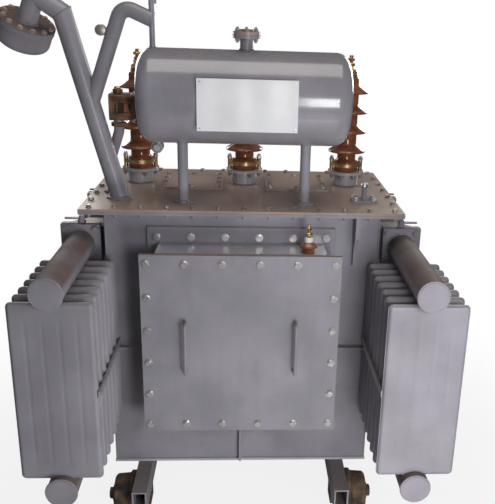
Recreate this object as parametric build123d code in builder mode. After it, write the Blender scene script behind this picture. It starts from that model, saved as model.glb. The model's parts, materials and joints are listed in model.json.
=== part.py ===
"""Oil-filled power transformer with a conservator, four finned radiators and a cable box.

Millimetres. X runs along the tank to the right, Y to the back and Z up. The origin
lies on the floor, under the middle of the tank.
"""

import os

from build123d import *

os.makedirs("parts", exist_ok=True)

# Tank, cover and rim
tank_length = 1120.0
tank_depth = 690.0
tank_bottom = 222.0
wall_thickness = 6.0
floor_thickness = 10.0
floor_lip = 6.0
rim_side = 90.0
rim_front = 68.0
rim_thickness = 12.0
cover_thickness = 10.0
cover_top = 1407.0
cover_length = tank_length + 2 * rim_side
cover_depth = tank_depth + 2 * rim_front
stiffener_level = 790.0
stiffener_thickness = 10.0
stiffener_reach = 28.0
lug_inset = 98.0
lug_thickness = 16.0
lug_reach = 62.0
lug_face_height = 90.0
lug_height = 150.0
lug_tail_reach = 24.0
lug_tail_height = 66.0

# Base tubes, brackets and flanged wheels
base_width = 62.0
base_height = 100.0
base_wall = 7.0
base_overhang = 245.0
base_inset = 128.0
wheel_radius = 100.0
wheel_width = 92.0
wheel_inset = 175.0
wheel_side_gap = 6.0
wheel_flange_width = 20.0
wheel_flange_bevel = 6.0
wheel_flange_slope = 8.0
tread_radius = 85.0
tread_taper = 4.0
tread_bevel = 8.0
wheel_face_width = 10.0
wheel_face_recess = 2.0
wheel_dish = 22.0
hub_margin = 8.0
axle_radius = 22.0
axle_clearance = 0.1
washer_clearance = 0.4
axle_washer_radius = 36.0
axle_washer_thickness = 8.0
bracket_depth = 96.0
bracket_height = 58.0

# Cable box on the front wall
box_centre = -8.0
box_width = 676.0
box_height = 727.0
box_top = 1257.0
box_depth = 170.0
box_flange_side = 45.0
box_flange_rise = 66.0
box_flange_thickness = 12.0
box_cover_width = 790.0
box_cover_top = 1262.0
box_cover_height = 770.0
box_cover_thickness = 12.0
handle_offset = 220.0
handle_level = 877.0
handle_span = 215.0
handle_reach = 45.0
handle_radius = 7.0
handle_bend = 16.0

# Neutral bushing on the cable box
neutral_offset = 258.0
neutral_inset = 65.0
neutral_body_radius = 25.0
neutral_body_height = 24.0
neutral_shed_radius = 36.0
neutral_shed_height = 20.0
neutral_shed_slope = 4.0
neutral_shed_edge = 5.0
neutral_collar_radius = 18.0
neutral_collar_height = 20.0
neutral_nut_radius = 14.0
neutral_nut_height = 16.0
neutral_stud_radius = 7.0
neutral_stud_height = 34.0

# Radiators
radiator_gap = 108.0
panel_count = 7
panel_pitch = 76.5
panel_width = 300.0
panel_thickness = 26.0
panel_inset = 35.0
panel_top = 1188.0
panel_bottom = 480.0
panel_groove_count = 4
panel_groove_width = 16.0
panel_groove_depth = 5.0
panel_edge = 8.0
header_length = 599.0
header_radius = 57.0
header_level_top = 1233.0
header_level_bottom = 443.0
header_end_chamfer = 4.0
tie_level = 836.0
tie_height = 26.0
tie_thickness = 6.0

# Valves and elbows between the radiators and the tank's end walls
flange_inset = 45.0
flange_thickness = 24.0
flange_size = 160.0
elbow_size = 124.0
elbow_length = 130.0
elbow_chamfer = 62.0
boss_radius = 15.0
boss_height = 14.0
spindle_radius = 6.0
spindle_depth = 10.0
spindle_clearance = 0.1
lever_clearance = 0.3
lever_hub_radius = 12.0
lever_hub_height = 14.0
lever_length = 62.0
lever_width = 14.0
lever_thickness = 7.0

# Conservator
conservator_radius = 182.0
conservator_wall = 6.0
conservator_inset = 135.0
conservator_end_depth = 74.0
conservator_dish = 10.0
conservator_corner = 60.0
conservator_rise = 428.0
conservator_setback = 143.0
post_inset = 176.0
post_radius = 21.0
post_collar_radius = 34.0
post_collar_height = 8.0
drain_inset = 77.0
drain_drop = 18.0
drain_stub_radius = 14.0
drain_radius = 23.0
drain_length = 52.0
filler_offset = 4.0
filler_neck_radius = 26.0
filler_neck_height = 55.0
filler_flange_radius = 54.0
filler_flange_thickness = 12.0
filler_cap_thickness = 14.0
filler_cap_crown = 8.0
plug_radius = 12.0
plug_length = 14.0
plug_rise = 100.0

# Breather pipe and equalising pipe
breather_inset = 68.0
breather_rise = 400.0
breather_radius = 11.0
breather_bend = 40.0
breather_bend_gap = 0.8
breather_drop = 60.0
equaliser_radius = 29.0
equaliser_bend = 45.0
equaliser_low = 376.0
equaliser_peak_low = 70.0
equaliser_end_low = 117.0
equaliser_lean = 113.0
equaliser_setback = 12.0
side_plug_radius = 21.0
side_plug_length = 24.0
side_plug_share = 0.76

# Gas relay and its pipe
relay_length = 104.0
relay_depth = 96.0
relay_height = 104.0
relay_corner = 14.0
relay_drop = 55.0
relay_inset = 80.0
relay_flange_thickness = 12.0
relay_flange_height = 124.0
relay_flange_depth = 99.0
relay_window_length = 57.0
relay_window_height = 57.0
relay_window_corner = 10.0
relay_window_reach = 8.0
relay_window_offset = 57.0
relay_stub_radius = 40.0
relay_cap_radius = 20.0
relay_cap_height = 16.0
relay_cap_offset = 31.0
relay_pipe_radius = 21.0
relay_pipe_bend = 45.0
relay_pipe_inset = 88.0
relay_pipe_setback = 313.0
relay_pipe_rise = 150.0
relay_pipe_neck = 46.0

# Explosion vent: how far its three runs lean left, rise and turn back
vent_radius = 38.5
vent_inset = 134.0
vent_setback = 211.0
vent_elbow_lean = 190.0
vent_elbow_rise = 723.0
vent_crest_lean = 290.0
vent_crest_rise = 789.0
vent_crest_turn = 3.0
vent_mouth_lean = 334.0
vent_mouth_rise = 690.0
vent_mouth_turn = 37.0
vent_collar_radius = 56.0
vent_collar_height = 8.0
drum_radius = 110.0
drum_body_radius = 106.0
drum_flange_thickness = 20.0
drum_length = 100.0
drum_corner = 30.0

# Turrets, high-voltage bushings and plates on the cover
turret_inset = 90.0
turret_setback = 293.0
turret_radius = 57.0
turret_height = 57.0
turret_flange_radius = 82.0
turret_flange_thickness = 12.0
foot_radius = 54.0
foot_height = 46.0
foot_slope = 8.0
clamp_radius = 69.0
clamp_height = 16.0
clamp_rise = 22.0
clamp_clearance = 0.3
clamp_post_radius = 9.0
clamp_post_inset = 2.0
clamp_post_rise = 10.0
porcelain_radius = 42.0
porcelain_height = 420.0
porcelain_bevel = 8.0
shed_radius = 84.0
shed_count = 4
shed_pitch = 88.0
shed_first = 86.0
shed_slope = 30.0
shed_under = 2.0
shed_edge = 7.0
shed_lip = 6.0
cap_radius = 31.0
cap_height = 34.0
stud_radius = 10.0
stud_height = 60.0
plate_inner = 95.0
plate_outer_gap = 93.0
plate_forward = 165.0
plate_depth = 295.0
plate_thickness = 12.0
pocket_inset = 138.0
pocket_setback = 215.0
pocket_plate_length = 106.0
pocket_plate_depth = 82.0
pocket_plate_thickness = 9.0
pocket_radius = 11.0
pocket_height = 52.0
pocket_cap_radius = 15.0
pocket_cap_round = 10.0

# Levels and faces worked out from the sizes above
cover_bottom = cover_top - cover_thickness
rim_bottom = cover_bottom - rim_thickness
wall_bottom = tank_bottom + floor_thickness
wall_height = rim_bottom - wall_bottom
wall_face = tank_depth / 2
end_face = tank_length / 2
base_bottom = tank_bottom - base_height
base_offset = end_face - base_inset
base_length = tank_depth + 2 * base_overhang
wheel_spread = base_length / 2 - wheel_inset
box_flange_face = wall_face + box_flange_thickness
box_front = box_flange_face + box_depth
box_cover_face = box_front + box_cover_thickness
neutral_y = neutral_inset - box_front
radiator_offset = end_face + radiator_gap
flange_front = wall_face - flange_inset
header_front = flange_front + header_length
panel_front = header_front - panel_inset
conservator_level = cover_top + conservator_rise
conservator_half_length = end_face - conservator_inset
post_spread = conservator_half_length - post_inset
conservator_y = conservator_setback - cover_depth / 2
conservator_axis = Plane(origin=(0, conservator_y, conservator_level), x_dir=(0, 1, 0), z_dir=(1, 0, 0))
relay_y = conservator_y + relay_inset
relay_level = conservator_level - relay_drop
breather_x = breather_inset - conservator_half_length
breather_top = conservator_level + breather_rise
turret_spread = end_face - turret_inset
turret_y = cover_depth / 2 - turret_setback
side_names = {-1: "left", 1: "right"}
corner_names = {(-1, -1): "front_left", (1, -1): "front_right", (-1, 1): "back_left", (1, 1): "back_right"}


def save(part, name):
    """Label a finished piece and write its file."""
    part.label = name
    export_step(part, f"parts/{name}.step")


def block(low, high):
    """Box between two opposite corners, for the builder that is open."""
    with Locations([tuple((a + b) / 2 for a, b in zip(low, high))]):
        Box(*(b - a for a, b in zip(low, high)))


def vertical_disc(x, y, bottom, height, radius, mode=Mode.ADD):
    """Upright cylinder standing on a level."""
    with Locations((x, y, bottom)):
        Cylinder(radius, height, align=(Align.CENTER, Align.CENTER, Align.MIN), mode=mode)


# Base tubes, open at both ends, under the tank's floor
for side in side_names:
    with BuildPart() as base_tube:
        with BuildSketch(Plane.XZ.offset(-base_length / 2)):
            with Locations((side * base_offset, base_bottom + base_height / 2)):
                Rectangle(base_width, base_height)
                Rectangle(base_width - 2 * base_wall, base_height - 2 * base_wall, mode=Mode.SUBTRACT)
        extrude(amount=base_length)
    save(base_tube.part, f"base_tube_{side_names[side]}")

# Wheel brackets: a block under the tube with a stub axle and its end washer
wheel_inner = base_offset + base_width / 2 + wheel_side_gap
wheel_outer = wheel_inner + wheel_width
for side in side_names:
    with BuildPart() as wheel_brackets:
        for end in (-1, 1):
            with Locations((side * base_offset, end * wheel_spread, base_bottom - bracket_height / 2)):
                Box(base_width, bracket_depth, bracket_height)
            axle_plane = Plane(
                origin=(side * base_offset, end * wheel_spread, wheel_radius), z_dir=(side, 0, 0)
            )
            with BuildSketch(axle_plane):
                Circle(axle_radius)
            extrude(amount=wheel_outer + washer_clearance - base_offset)
            with BuildSketch(axle_plane.offset(wheel_outer + washer_clearance - base_offset)):
                Circle(axle_washer_radius)
            extrude(amount=axle_washer_thickness)
            with BuildSketch(axle_plane.offset(base_width / 2)):
                Circle(axle_washer_radius)
            extrude(amount=wheel_side_gap - washer_clearance)
    save(wheel_brackets.part, f"wheel_brackets_{side_names[side]}")

# Flanged wheels with a tapered tread, a dished outer face and a bored hub
for (side, end), corner in corner_names.items():
    wheel_plane = Plane(
        origin=(side * wheel_inner, end * wheel_spread, wheel_radius), x_dir=(0, 0, 1), z_dir=(0, side, 0)
    )
    bore_radius = axle_radius + axle_clearance
    hub_radius = axle_washer_radius + hub_margin
    with BuildPart() as wheel:
        with BuildSketch(wheel_plane):
            with BuildLine():
                Polyline(
                    (bore_radius, 0),
                    (wheel_radius - wheel_flange_bevel, 0),
                    (wheel_radius, wheel_flange_bevel),
                    (wheel_radius, wheel_flange_width),
                    (tread_radius + tread_taper, wheel_flange_width + wheel_flange_slope),
                    (tread_radius, wheel_width - wheel_face_recess - tread_bevel),
                    (tread_radius - tread_bevel, wheel_width - wheel_face_recess),
                    (tread_radius - tread_bevel - wheel_face_width, wheel_width - wheel_face_recess),
                    (hub_radius + hub_margin, wheel_width - wheel_dish),
                    (hub_radius, wheel_width),
                    (bore_radius, wheel_width),
                    close=True,
                )
            make_face()
        revolve(axis=Axis((side * wheel_inner, end * wheel_spread, wheel_radius), (1, 0, 0)))
    save(wheel.part, f"wheel_{corner}")

# Tank floor, a plate with a lip all round
with BuildPart() as tank_floor:
    with BuildSketch(Plane.XY.offset(tank_bottom)):
        Rectangle(tank_length + 2 * floor_lip, tank_depth + 2 * floor_lip)
    extrude(amount=floor_thickness)
save(tank_floor.part, "tank_floor")

# Front wall with the stiffener beside the cable box and the rib below it
box_left = box_centre - box_width / 2
box_right = box_centre + box_width / 2
box_bottom = box_top - box_height
box_flange_left = box_left - box_flange_side
box_flange_right = box_right + box_flange_side
box_flange_bottom = box_bottom - box_flange_side
box_flange_top = box_top + box_flange_rise
with BuildPart() as tank_wall_front:
    block((-end_face, -wall_face, wall_bottom), (end_face, -wall_face + wall_thickness, rim_bottom))
    stiffener_low = stiffener_level - stiffener_thickness / 2
    stiffener_high = stiffener_level + stiffener_thickness / 2
    stiffener_front = -wall_face - stiffener_reach
    block((-end_face, stiffener_front, stiffener_low), (box_flange_left, -wall_face, stiffener_high))
    block((box_flange_right, stiffener_front, stiffener_low), (end_face, -wall_face, stiffener_high))
    block(
        (box_centre - stiffener_thickness / 2, stiffener_front, wall_bottom),
        (box_centre + stiffener_thickness / 2, -wall_face, box_flange_bottom),
    )
save(tank_wall_front.part, "tank_wall_front")

# Back wall with one stiffener from end to end
with BuildPart() as tank_wall_back:
    block((-end_face, wall_face - wall_thickness, wall_bottom), (end_face, wall_face, rim_bottom))
    block((-end_face, wall_face, stiffener_low), (end_face, wall_face + stiffener_reach, stiffener_high))
save(tank_wall_back.part, "tank_wall_back")

# End walls, between the front and back walls
for side in side_names:
    with BuildPart() as tank_wall_end:
        with Locations((side * (end_face - wall_thickness / 2), 0, wall_bottom + wall_height / 2)):
            Box(wall_thickness, tank_depth - 2 * wall_thickness, wall_height)
        with Locations((side * (end_face + stiffener_reach / 2), 0, stiffener_level)):
            Box(stiffener_reach, tank_depth, stiffener_thickness)
    save(tank_wall_end.part, f"tank_wall_{side_names[side]}")

# Rim that the cover is bolted to
with BuildPart() as tank_rim:
    with BuildSketch(Plane.XY.offset(rim_bottom)):
        Rectangle(cover_length, cover_depth)
        Rectangle(tank_length - 2 * wall_thickness, tank_depth - 2 * wall_thickness, mode=Mode.SUBTRACT)
    extrude(amount=rim_thickness)
save(tank_rim.part, "tank_rim")

# Cover plate
with BuildPart() as cover:
    with BuildSketch(Plane.XY.offset(cover_bottom)):
        Rectangle(cover_length, cover_depth)
    extrude(amount=cover_thickness)
save(cover.part, "cover")

# Stepped lifting lugs under the rim, at the front right and back left
lug_offset = end_face - lug_inset
with BuildPart() as lifting_lugs:
    for turn in (1, -1):
        lug_plane = Plane(
            origin=(turn * (lug_offset - lug_thickness / 2), -turn * wall_face, rim_bottom),
            x_dir=(0, -turn, 0),
            z_dir=(turn, 0, 0),
        )
        down = -1 if lug_plane.y_dir.Z > 0 else 1
        with BuildSketch(lug_plane):
            with BuildLine():
                Polyline(
                    (0, 0),
                    (lug_reach, 0),
                    (lug_reach, down * lug_face_height),
                    (lug_tail_reach, down * lug_height),
                    (lug_tail_reach, down * (lug_height + lug_tail_height)),
                    (0, down * (lug_height + lug_tail_height)),
                    close=True,
                )
            make_face()
        extrude(amount=lug_thickness)
save(lifting_lugs.part, "lifting_lugs")

# Cable box: flange on the wall, body and bolted front plate
with BuildPart() as cable_box_flange:
    block(
        (box_flange_left, -box_flange_face, box_flange_bottom), (box_flange_right, -wall_face, box_flange_top)
    )
save(cable_box_flange.part, "cable_box_flange")

with BuildPart() as cable_box_body:
    block((box_left, -box_front, box_bottom), (box_right, -box_flange_face, box_top))
save(cable_box_body.part, "cable_box_body")

with BuildPart() as cable_box_cover:
    block(
        (box_centre - box_cover_width / 2, -box_cover_face, box_cover_top - box_cover_height),
        (box_centre + box_cover_width / 2, -box_front, box_cover_top),
    )
save(cable_box_cover.part, "cable_box_cover")

# Bent round-bar handles on the front plate
for side in side_names:
    handle_base = (box_centre + side * handle_offset, -box_cover_face, handle_level)
    with BuildPart() as cable_box_handle:
        with BuildLine(Plane(origin=handle_base, x_dir=(0, -1, 0), z_dir=(1, 0, 0))):
            handle_line = FilletPolyline(
                (0, -handle_span / 2),
                (handle_reach, -handle_span / 2),
                (handle_reach, handle_span / 2),
                (0, handle_span / 2),
                radius=handle_bend,
            )
        with BuildSketch(Plane(origin=handle_line @ 0, z_dir=handle_line % 0)):
            Circle(handle_radius)
        sweep()
    save(cable_box_handle.part, f"cable_box_handle_{side_names[side]}")

# Neutral bushing and its terminal on the cable box
neutral_top = box_top + neutral_body_height + neutral_shed_height
with BuildPart() as neutral_bushing:
    with BuildSketch(Plane(origin=(neutral_offset, neutral_y, box_top), x_dir=(1, 0, 0), z_dir=(0, -1, 0))):
        with BuildLine():
            Polyline(
                (0, 0),
                (neutral_body_radius, 0),
                (neutral_body_radius, neutral_body_height - neutral_shed_slope),
                (neutral_shed_radius, neutral_body_height),
                (neutral_shed_radius, neutral_body_height + neutral_shed_edge),
                (neutral_collar_radius, neutral_body_height + neutral_shed_height),
                (0, neutral_body_height + neutral_shed_height),
                close=True,
            )
        make_face()
    revolve(axis=Axis((neutral_offset, neutral_y, 0), (0, 0, 1)))
save(neutral_bushing.part, "neutral_bushing")

with BuildPart() as neutral_terminal:
    nut_low = neutral_top + neutral_collar_height
    stud_low = nut_low + neutral_nut_height
    vertical_disc(neutral_offset, neutral_y, neutral_top, neutral_collar_height, neutral_collar_radius)
    vertical_disc(neutral_offset, neutral_y, nut_low, neutral_nut_height, neutral_nut_radius)
    vertical_disc(neutral_offset, neutral_y, stud_low, neutral_stud_height, neutral_stud_radius)
save(neutral_terminal.part, "neutral_terminal")


def panel_outline():
    """Cross-section of one pressed radiator panel, seen from above."""
    half_width = panel_width / 2
    half_thickness = panel_thickness / 2
    groove_pitch = panel_width / (panel_groove_count + 1)
    points = [(-half_width, -half_thickness + panel_edge), (-half_width + panel_edge, -half_thickness)]
    for index in range(panel_groove_count):
        middle = -half_width + (index + 1) * groove_pitch
        points.append((middle - panel_groove_width / 2, -half_thickness))
        points.append((middle - panel_groove_width / 4, -half_thickness + panel_groove_depth))
        points.append((middle + panel_groove_width / 4, -half_thickness + panel_groove_depth))
        points.append((middle + panel_groove_width / 2, -half_thickness))
    points.append((half_width - panel_edge, -half_thickness))
    points.append((half_width, -half_thickness + panel_edge))
    return points + [(-x, -y) for x, y in points]


# Radiators: pressed panels on two headers
last_panel = panel_front - (panel_count - 1) * panel_pitch - panel_thickness
for (side, end), corner in corner_names.items():
    header_x = side * radiator_offset
    headers = [(header_x, level) for level in (header_level_top, header_level_bottom)]
    with BuildPart() as radiator_panels:
        for index in range(panel_count):
            panel_y = end * (panel_front - panel_thickness / 2 - index * panel_pitch)
            with BuildSketch(Plane((header_x, panel_y, panel_bottom))):
                with BuildLine():
                    Polyline(*panel_outline(), close=True)
                make_face()
            extrude(amount=panel_top - panel_bottom)
        for level in (header_level_top, header_level_bottom):
            with BuildSketch(Plane(origin=(header_x, end * header_front, level), z_dir=(0, -end, 0))):
                Circle(header_radius)
            extrude(amount=header_front - flange_front, mode=Mode.SUBTRACT)
    save(radiator_panels.part, f"radiator_{corner}_panels")

    with BuildPart() as radiator_headers:
        for level in (header_level_top, header_level_bottom):
            header_plane = Plane(origin=(header_x, end * header_front, level), z_dir=(0, -end, 0))
            with BuildSketch(header_plane):
                Circle(header_radius)
            header_pipe = extrude(amount=header_front - flange_front)
            header_rims = header_pipe.edges().filter_by(GeomType.CIRCLE)
            chamfer(header_rims.sort_by(Axis.Y)[0 if end < 0 else -1], header_end_chamfer)
            with BuildSketch(header_plane.offset(header_front - flange_front)):
                Rectangle(flange_size, flange_size)
            extrude(amount=flange_thickness)
    save(radiator_headers.part, f"radiator_{corner}_headers")

# Tie bars across the panels' inner edges
tie_offset = radiator_offset - panel_width / 2 - tie_thickness / 2
with BuildPart() as radiator_ties:
    for side, end in corner_names:
        with Locations((side * tie_offset, end * (panel_front + last_panel) / 2, tie_level)):
            Box(tie_thickness, panel_front - last_panel, tie_height)
save(radiator_ties.part, "radiator_ties")

# Elbows on the tank's end walls, with the valve's boss on each upper flange
elbow_front = flange_front - flange_thickness
elbow_back = elbow_front - flange_thickness - elbow_length
flange_middle = elbow_front - flange_thickness / 2
boss_low = header_level_top + flange_size / 2
for side in side_names:
    with BuildPart() as elbows:
        for end in (-1, 1):
            for level in (header_level_top, header_level_bottom):
                with Locations((side * radiator_offset, end * flange_middle, level)):
                    Box(flange_size, flange_thickness, flange_size)
                with BuildSketch(Plane.XY.offset(level - elbow_size / 2)):
                    with BuildLine():
                        outer = radiator_offset + elbow_size / 2
                        near = elbow_front - flange_thickness
                        Polyline(
                            (side * end_face, end * near),
                            (side * outer, end * near),
                            (side * outer, end * (elbow_back + elbow_chamfer)),
                            (side * (outer - elbow_chamfer), end * elbow_back),
                            (side * end_face, end * elbow_back),
                            close=True,
                        )
                    make_face()
                extrude(amount=elbow_size)
            boss_place = (side * radiator_offset, end * flange_middle, boss_low)
            with BuildSketch(Plane(boss_place)):
                Circle(boss_radius)
            extrude(amount=boss_height)
            with BuildSketch(Plane(boss_place).offset(boss_height)):
                Circle(spindle_radius + spindle_clearance)
            extrude(amount=-spindle_depth - lever_clearance, mode=Mode.SUBTRACT)
    save(elbows.part, f"elbows_{side_names[side]}")

# Valve levers, pointing outwards when open
lever_low = boss_low + boss_height + lever_clearance
for (side, end), corner in corner_names.items():
    lever_x = side * radiator_offset
    lever_y = end * flange_middle
    with BuildPart() as valve_lever:
        vertical_disc(lever_x, lever_y, lever_low - spindle_depth, spindle_depth, spindle_radius)
        vertical_disc(lever_x, lever_y, lever_low, lever_hub_height, lever_hub_radius)
        with BuildSketch(Plane((lever_x, lever_y, lever_low))):
            with Locations((side * lever_length / 2, 0)):
                Rectangle(lever_length, lever_width)
            with Locations((side * lever_length, 0)):
                Circle(lever_width / 2)
        extrude(amount=lever_thickness)
    save(valve_lever.part, f"valve_lever_{corner}")

# Conservator shell, a tube closed by two dished ends
shell_half = conservator_half_length - conservator_end_depth
with BuildPart() as conservator_shell:
    with BuildSketch(conservator_axis.offset(-shell_half)):
        Circle(conservator_radius)
        Circle(conservator_radius - conservator_wall, mode=Mode.SUBTRACT)
    extrude(amount=2 * shell_half)
save(conservator_shell.part, "conservator_shell")

# Dished ends, hollow, the left one with a stub for the relay and a plug
dish_chord = conservator_radius - conservator_corner
dish_radius = (dish_chord**2 + conservator_dish**2) / (2 * conservator_dish)
for side in side_names:
    end_plane = Plane(
        origin=(side * shell_half, conservator_y, conservator_level), x_dir=(side, 0, 0), z_dir=(0, -side, 0)
    )
    with BuildPart() as conservator_end:
        for inset, mode in ((0, Mode.ADD), (conservator_wall, Mode.SUBTRACT)):
            end_radius = conservator_radius - inset
            end_depth = conservator_end_depth - inset
            corner_radius = conservator_corner - inset
            corner_x = end_depth - conservator_dish - corner_radius
            with BuildSketch(end_plane):
                with BuildLine():
                    Polyline((end_depth, 0), (0, 0), (0, end_radius), (corner_x, end_radius))
                    RadiusArc((corner_x, end_radius), (corner_x + corner_radius, dish_chord), corner_radius)
                    RadiusArc((corner_x + corner_radius, dish_chord), (end_depth, 0), dish_radius)
                make_face()
            revolve(axis=Axis((0, conservator_y, conservator_level), (1, 0, 0)), mode=mode)
        if side < 0:
            fitting_start = shell_half + conservator_end_depth - conservator_dish - conservator_wall
            plug_level = conservator_level + plug_rise
            with BuildSketch(Plane(origin=(-fitting_start, conservator_y, plug_level), z_dir=(-1, 0, 0))):
                Circle(plug_radius)
            extrude(amount=conservator_half_length + plug_length - fitting_start)
            with BuildSketch(Plane(origin=(-fitting_start, relay_y, relay_level), z_dir=(-1, 0, 0))):
                Circle(relay_stub_radius)
            extrude(amount=conservator_half_length - fitting_start)
    save(conservator_end.part, f"conservator_end_{side_names[side]}")

# Posts under the conservator, and the drain at its left: a stub with a plugged cross-piece
with BuildPart() as conservator_posts:
    for side in side_names:
        vertical_disc(side * post_spread, conservator_y, cover_top, conservator_rise, post_radius)
        vertical_disc(side * post_spread, conservator_y, cover_top, post_collar_height, post_collar_radius)
    with BuildSketch(conservator_axis.offset(-conservator_half_length)):
        Circle(conservator_radius)
    extrude(amount=2 * conservator_half_length, mode=Mode.SUBTRACT)
save(conservator_posts.part, "conservator_posts")

drain_x = drain_inset - conservator_half_length
drain_level = conservator_level - conservator_radius - drain_drop
with BuildPart() as conservator_drain:
    vertical_disc(drain_x, conservator_y, drain_level, conservator_level - drain_level, drain_stub_radius)
    with BuildSketch(Plane(origin=(drain_x, conservator_y, drain_level), z_dir=(0, -1, 0))):
        Circle(drain_radius)
    extrude(amount=drain_length / 2, both=True)
    with BuildSketch(conservator_axis.offset(-conservator_half_length)):
        Circle(conservator_radius)
    extrude(amount=2 * conservator_half_length, mode=Mode.SUBTRACT)
save(conservator_drain.part, "conservator_drain")

# Filler neck with its flange, and the bolted cap
filler_flange_low = conservator_level + conservator_radius + filler_neck_height - filler_flange_thickness
with BuildPart() as filler_neck:
    neck_height = conservator_radius + filler_neck_height
    vertical_disc(filler_offset, conservator_y, conservator_level, neck_height, filler_neck_radius)
    vertical_disc(
        filler_offset, conservator_y, filler_flange_low, filler_flange_thickness, filler_flange_radius
    )
    with BuildSketch(conservator_axis.offset(-conservator_half_length)):
        Circle(conservator_radius)
    extrude(amount=2 * conservator_half_length, mode=Mode.SUBTRACT)
save(filler_neck.part, "filler_neck")

cap_low = filler_flange_low + filler_flange_thickness
crown_low = cap_low + filler_cap_thickness
with BuildPart() as filler_cap:
    vertical_disc(filler_offset, conservator_y, cap_low, filler_cap_thickness, filler_flange_radius)
    vertical_disc(filler_offset, conservator_y, crown_low, filler_cap_crown, filler_neck_radius)
save(filler_cap.part, "filler_cap")

# Breather pipe, rising from the conservator and turned down at its top
breather_back = conservator_y + 2 * breather_bend
with BuildPart() as breather_pipe:
    with BuildLine():
        breather_line = FilletPolyline(
            (breather_x, conservator_y, conservator_level),
            (breather_x, conservator_y, breather_top + breather_bend),
            (breather_x, breather_back, breather_top + breather_bend),
            (breather_x, breather_back, breather_top - breather_drop),
            radius=breather_bend - breather_bend_gap,
        )
    with BuildSketch(Plane(origin=breather_line @ 0, z_dir=breather_line % 0)):
        Circle(breather_radius)
    sweep()
    with BuildSketch(conservator_axis.offset(-conservator_half_length)):
        Circle(conservator_radius)
    extrude(amount=2 * conservator_half_length, mode=Mode.SUBTRACT)
save(breather_pipe.part, "breather_pipe")

# Explosion vent: three mitred lengths of pipe from the cover to the drum
vent_foot = Vector(vent_inset - cover_length / 2, vent_setback - cover_depth / 2, cover_top)
vent_elbow = vent_foot + Vector(-vent_elbow_lean, 0, vent_elbow_rise)
vent_crest = vent_foot + Vector(-vent_crest_lean, vent_crest_turn, vent_crest_rise)
vent_mouth = vent_foot + Vector(-vent_mouth_lean, vent_mouth_turn, vent_mouth_rise)
with BuildPart() as vent_pipe:
    with BuildLine():
        vent_line = Polyline(
            vent_foot - (vent_elbow - vent_foot).normalized() * vent_radius,
            vent_elbow,
            vent_crest,
            vent_mouth,
        )
    with BuildSketch(Plane(origin=vent_line @ 0, z_dir=vent_line % 0)):
        Circle(vent_radius)
    sweep(transition=Transition.RIGHT)
    with BuildSketch(Plane((vent_foot.X, vent_foot.Y, cover_top - 3 * vent_radius))):
        Circle(4 * vent_radius)
    extrude(amount=3 * vent_radius, mode=Mode.SUBTRACT)
    vertical_disc(vent_foot.X, vent_foot.Y, cover_top, vent_collar_height, vent_collar_radius)
save(vent_pipe.part, "vent_pipe")

# Drum at the vent's mouth, with a thick bolted flange
drum_direction = (vent_mouth - vent_crest).normalized()
with BuildPart() as vent_drum:
    with BuildSketch(Plane(origin=vent_mouth, z_dir=drum_direction)):
        Circle(drum_radius)
    extrude(amount=drum_flange_thickness)
    with BuildSketch(Plane(origin=vent_mouth, z_dir=drum_direction).offset(drum_flange_thickness)):
        Circle(drum_body_radius)
    extrude(amount=drum_length - drum_flange_thickness)
    drum_ends = vent_drum.faces().filter_by(GeomType.PLANE).sort_by(Axis(vent_mouth, drum_direction))
    fillet(drum_ends[-1].edges(), drum_corner)
save(vent_drum.part, "vent_drum")

# Equalising pipe from the vent to the breather, with a plug on its side
equaliser_start = vent_foot + (vent_elbow - vent_foot) * (equaliser_low / vent_elbow_rise)
equaliser_peak = Vector(
    breather_x - equaliser_lean, conservator_y + equaliser_setback, breather_top - equaliser_peak_low
)
equaliser_end = Vector(breather_x, conservator_y, breather_top - equaliser_end_low)
with BuildPart() as equalising_pipe:
    with BuildLine():
        equaliser_line = FilletPolyline(equaliser_start, equaliser_peak, equaliser_end, radius=equaliser_bend)
    with BuildSketch(Plane(origin=equaliser_line @ 0, z_dir=equaliser_line % 0)):
        Circle(equaliser_radius)
    sweep()
    plug_point = equaliser_start + (equaliser_peak - equaliser_start) * side_plug_share
    plug_middle = plug_point - Vector(equaliser_radius + side_plug_radius, 0, 0)
    with BuildSketch(Plane(origin=plug_middle, z_dir=(0, -1, 0))):
        Circle(side_plug_radius)
    extrude(amount=side_plug_length / 2, both=True)
    with BuildSketch(Plane(origin=plug_middle, z_dir=(1, 0, 0))):
        Circle(side_plug_radius / 2)
    extrude(amount=equaliser_radius + side_plug_radius)
    with BuildSketch(Plane(origin=vent_foot, z_dir=vent_elbow - vent_foot)):
        Circle(vent_radius)
    extrude(amount=(vent_elbow - vent_foot).length, mode=Mode.SUBTRACT)
    vertical_disc(
        breather_x, conservator_y, conservator_level, breather_rise, breather_radius, mode=Mode.SUBTRACT
    )
    with BuildSketch(Plane((breather_x, conservator_y, conservator_level))):
        with Locations((equaliser_radius * 2 - breather_radius, 0)):
            Rectangle(equaliser_radius * 4, equaliser_radius * 4, align=(Align.MIN, Align.CENTER))
    extrude(amount=breather_rise, mode=Mode.SUBTRACT)
save(equalising_pipe.part, "equalising_pipe")

# Gas relay, a cast body with a flange on the conservator's end and a window boss in front
relay_right = -conservator_half_length
relay_left = relay_right - relay_flange_thickness - relay_length
relay_window_base = (relay_left + relay_window_offset, relay_y - relay_depth / 2, relay_level)
relay_cap_x = relay_left + relay_cap_offset
with BuildPart() as gas_relay:
    with Locations((relay_right - relay_flange_thickness / 2, relay_y, relay_level)):
        Box(relay_flange_thickness, relay_flange_depth, relay_flange_height)
    with BuildSketch(Plane(origin=(relay_left, relay_y, relay_level), x_dir=(0, 1, 0), z_dir=(1, 0, 0))):
        RectangleRounded(relay_depth, relay_height, relay_corner)
    extrude(amount=relay_length)
    with BuildSketch(Plane(origin=relay_window_base, z_dir=(0, -1, 0))):
        RectangleRounded(relay_window_length, relay_window_height, relay_window_corner)
    extrude(amount=relay_window_reach)
    vertical_disc(relay_cap_x, relay_y, relay_level, relay_height / 2 + relay_cap_height, relay_cap_radius)
save(gas_relay.part, "gas_relay")

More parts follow.
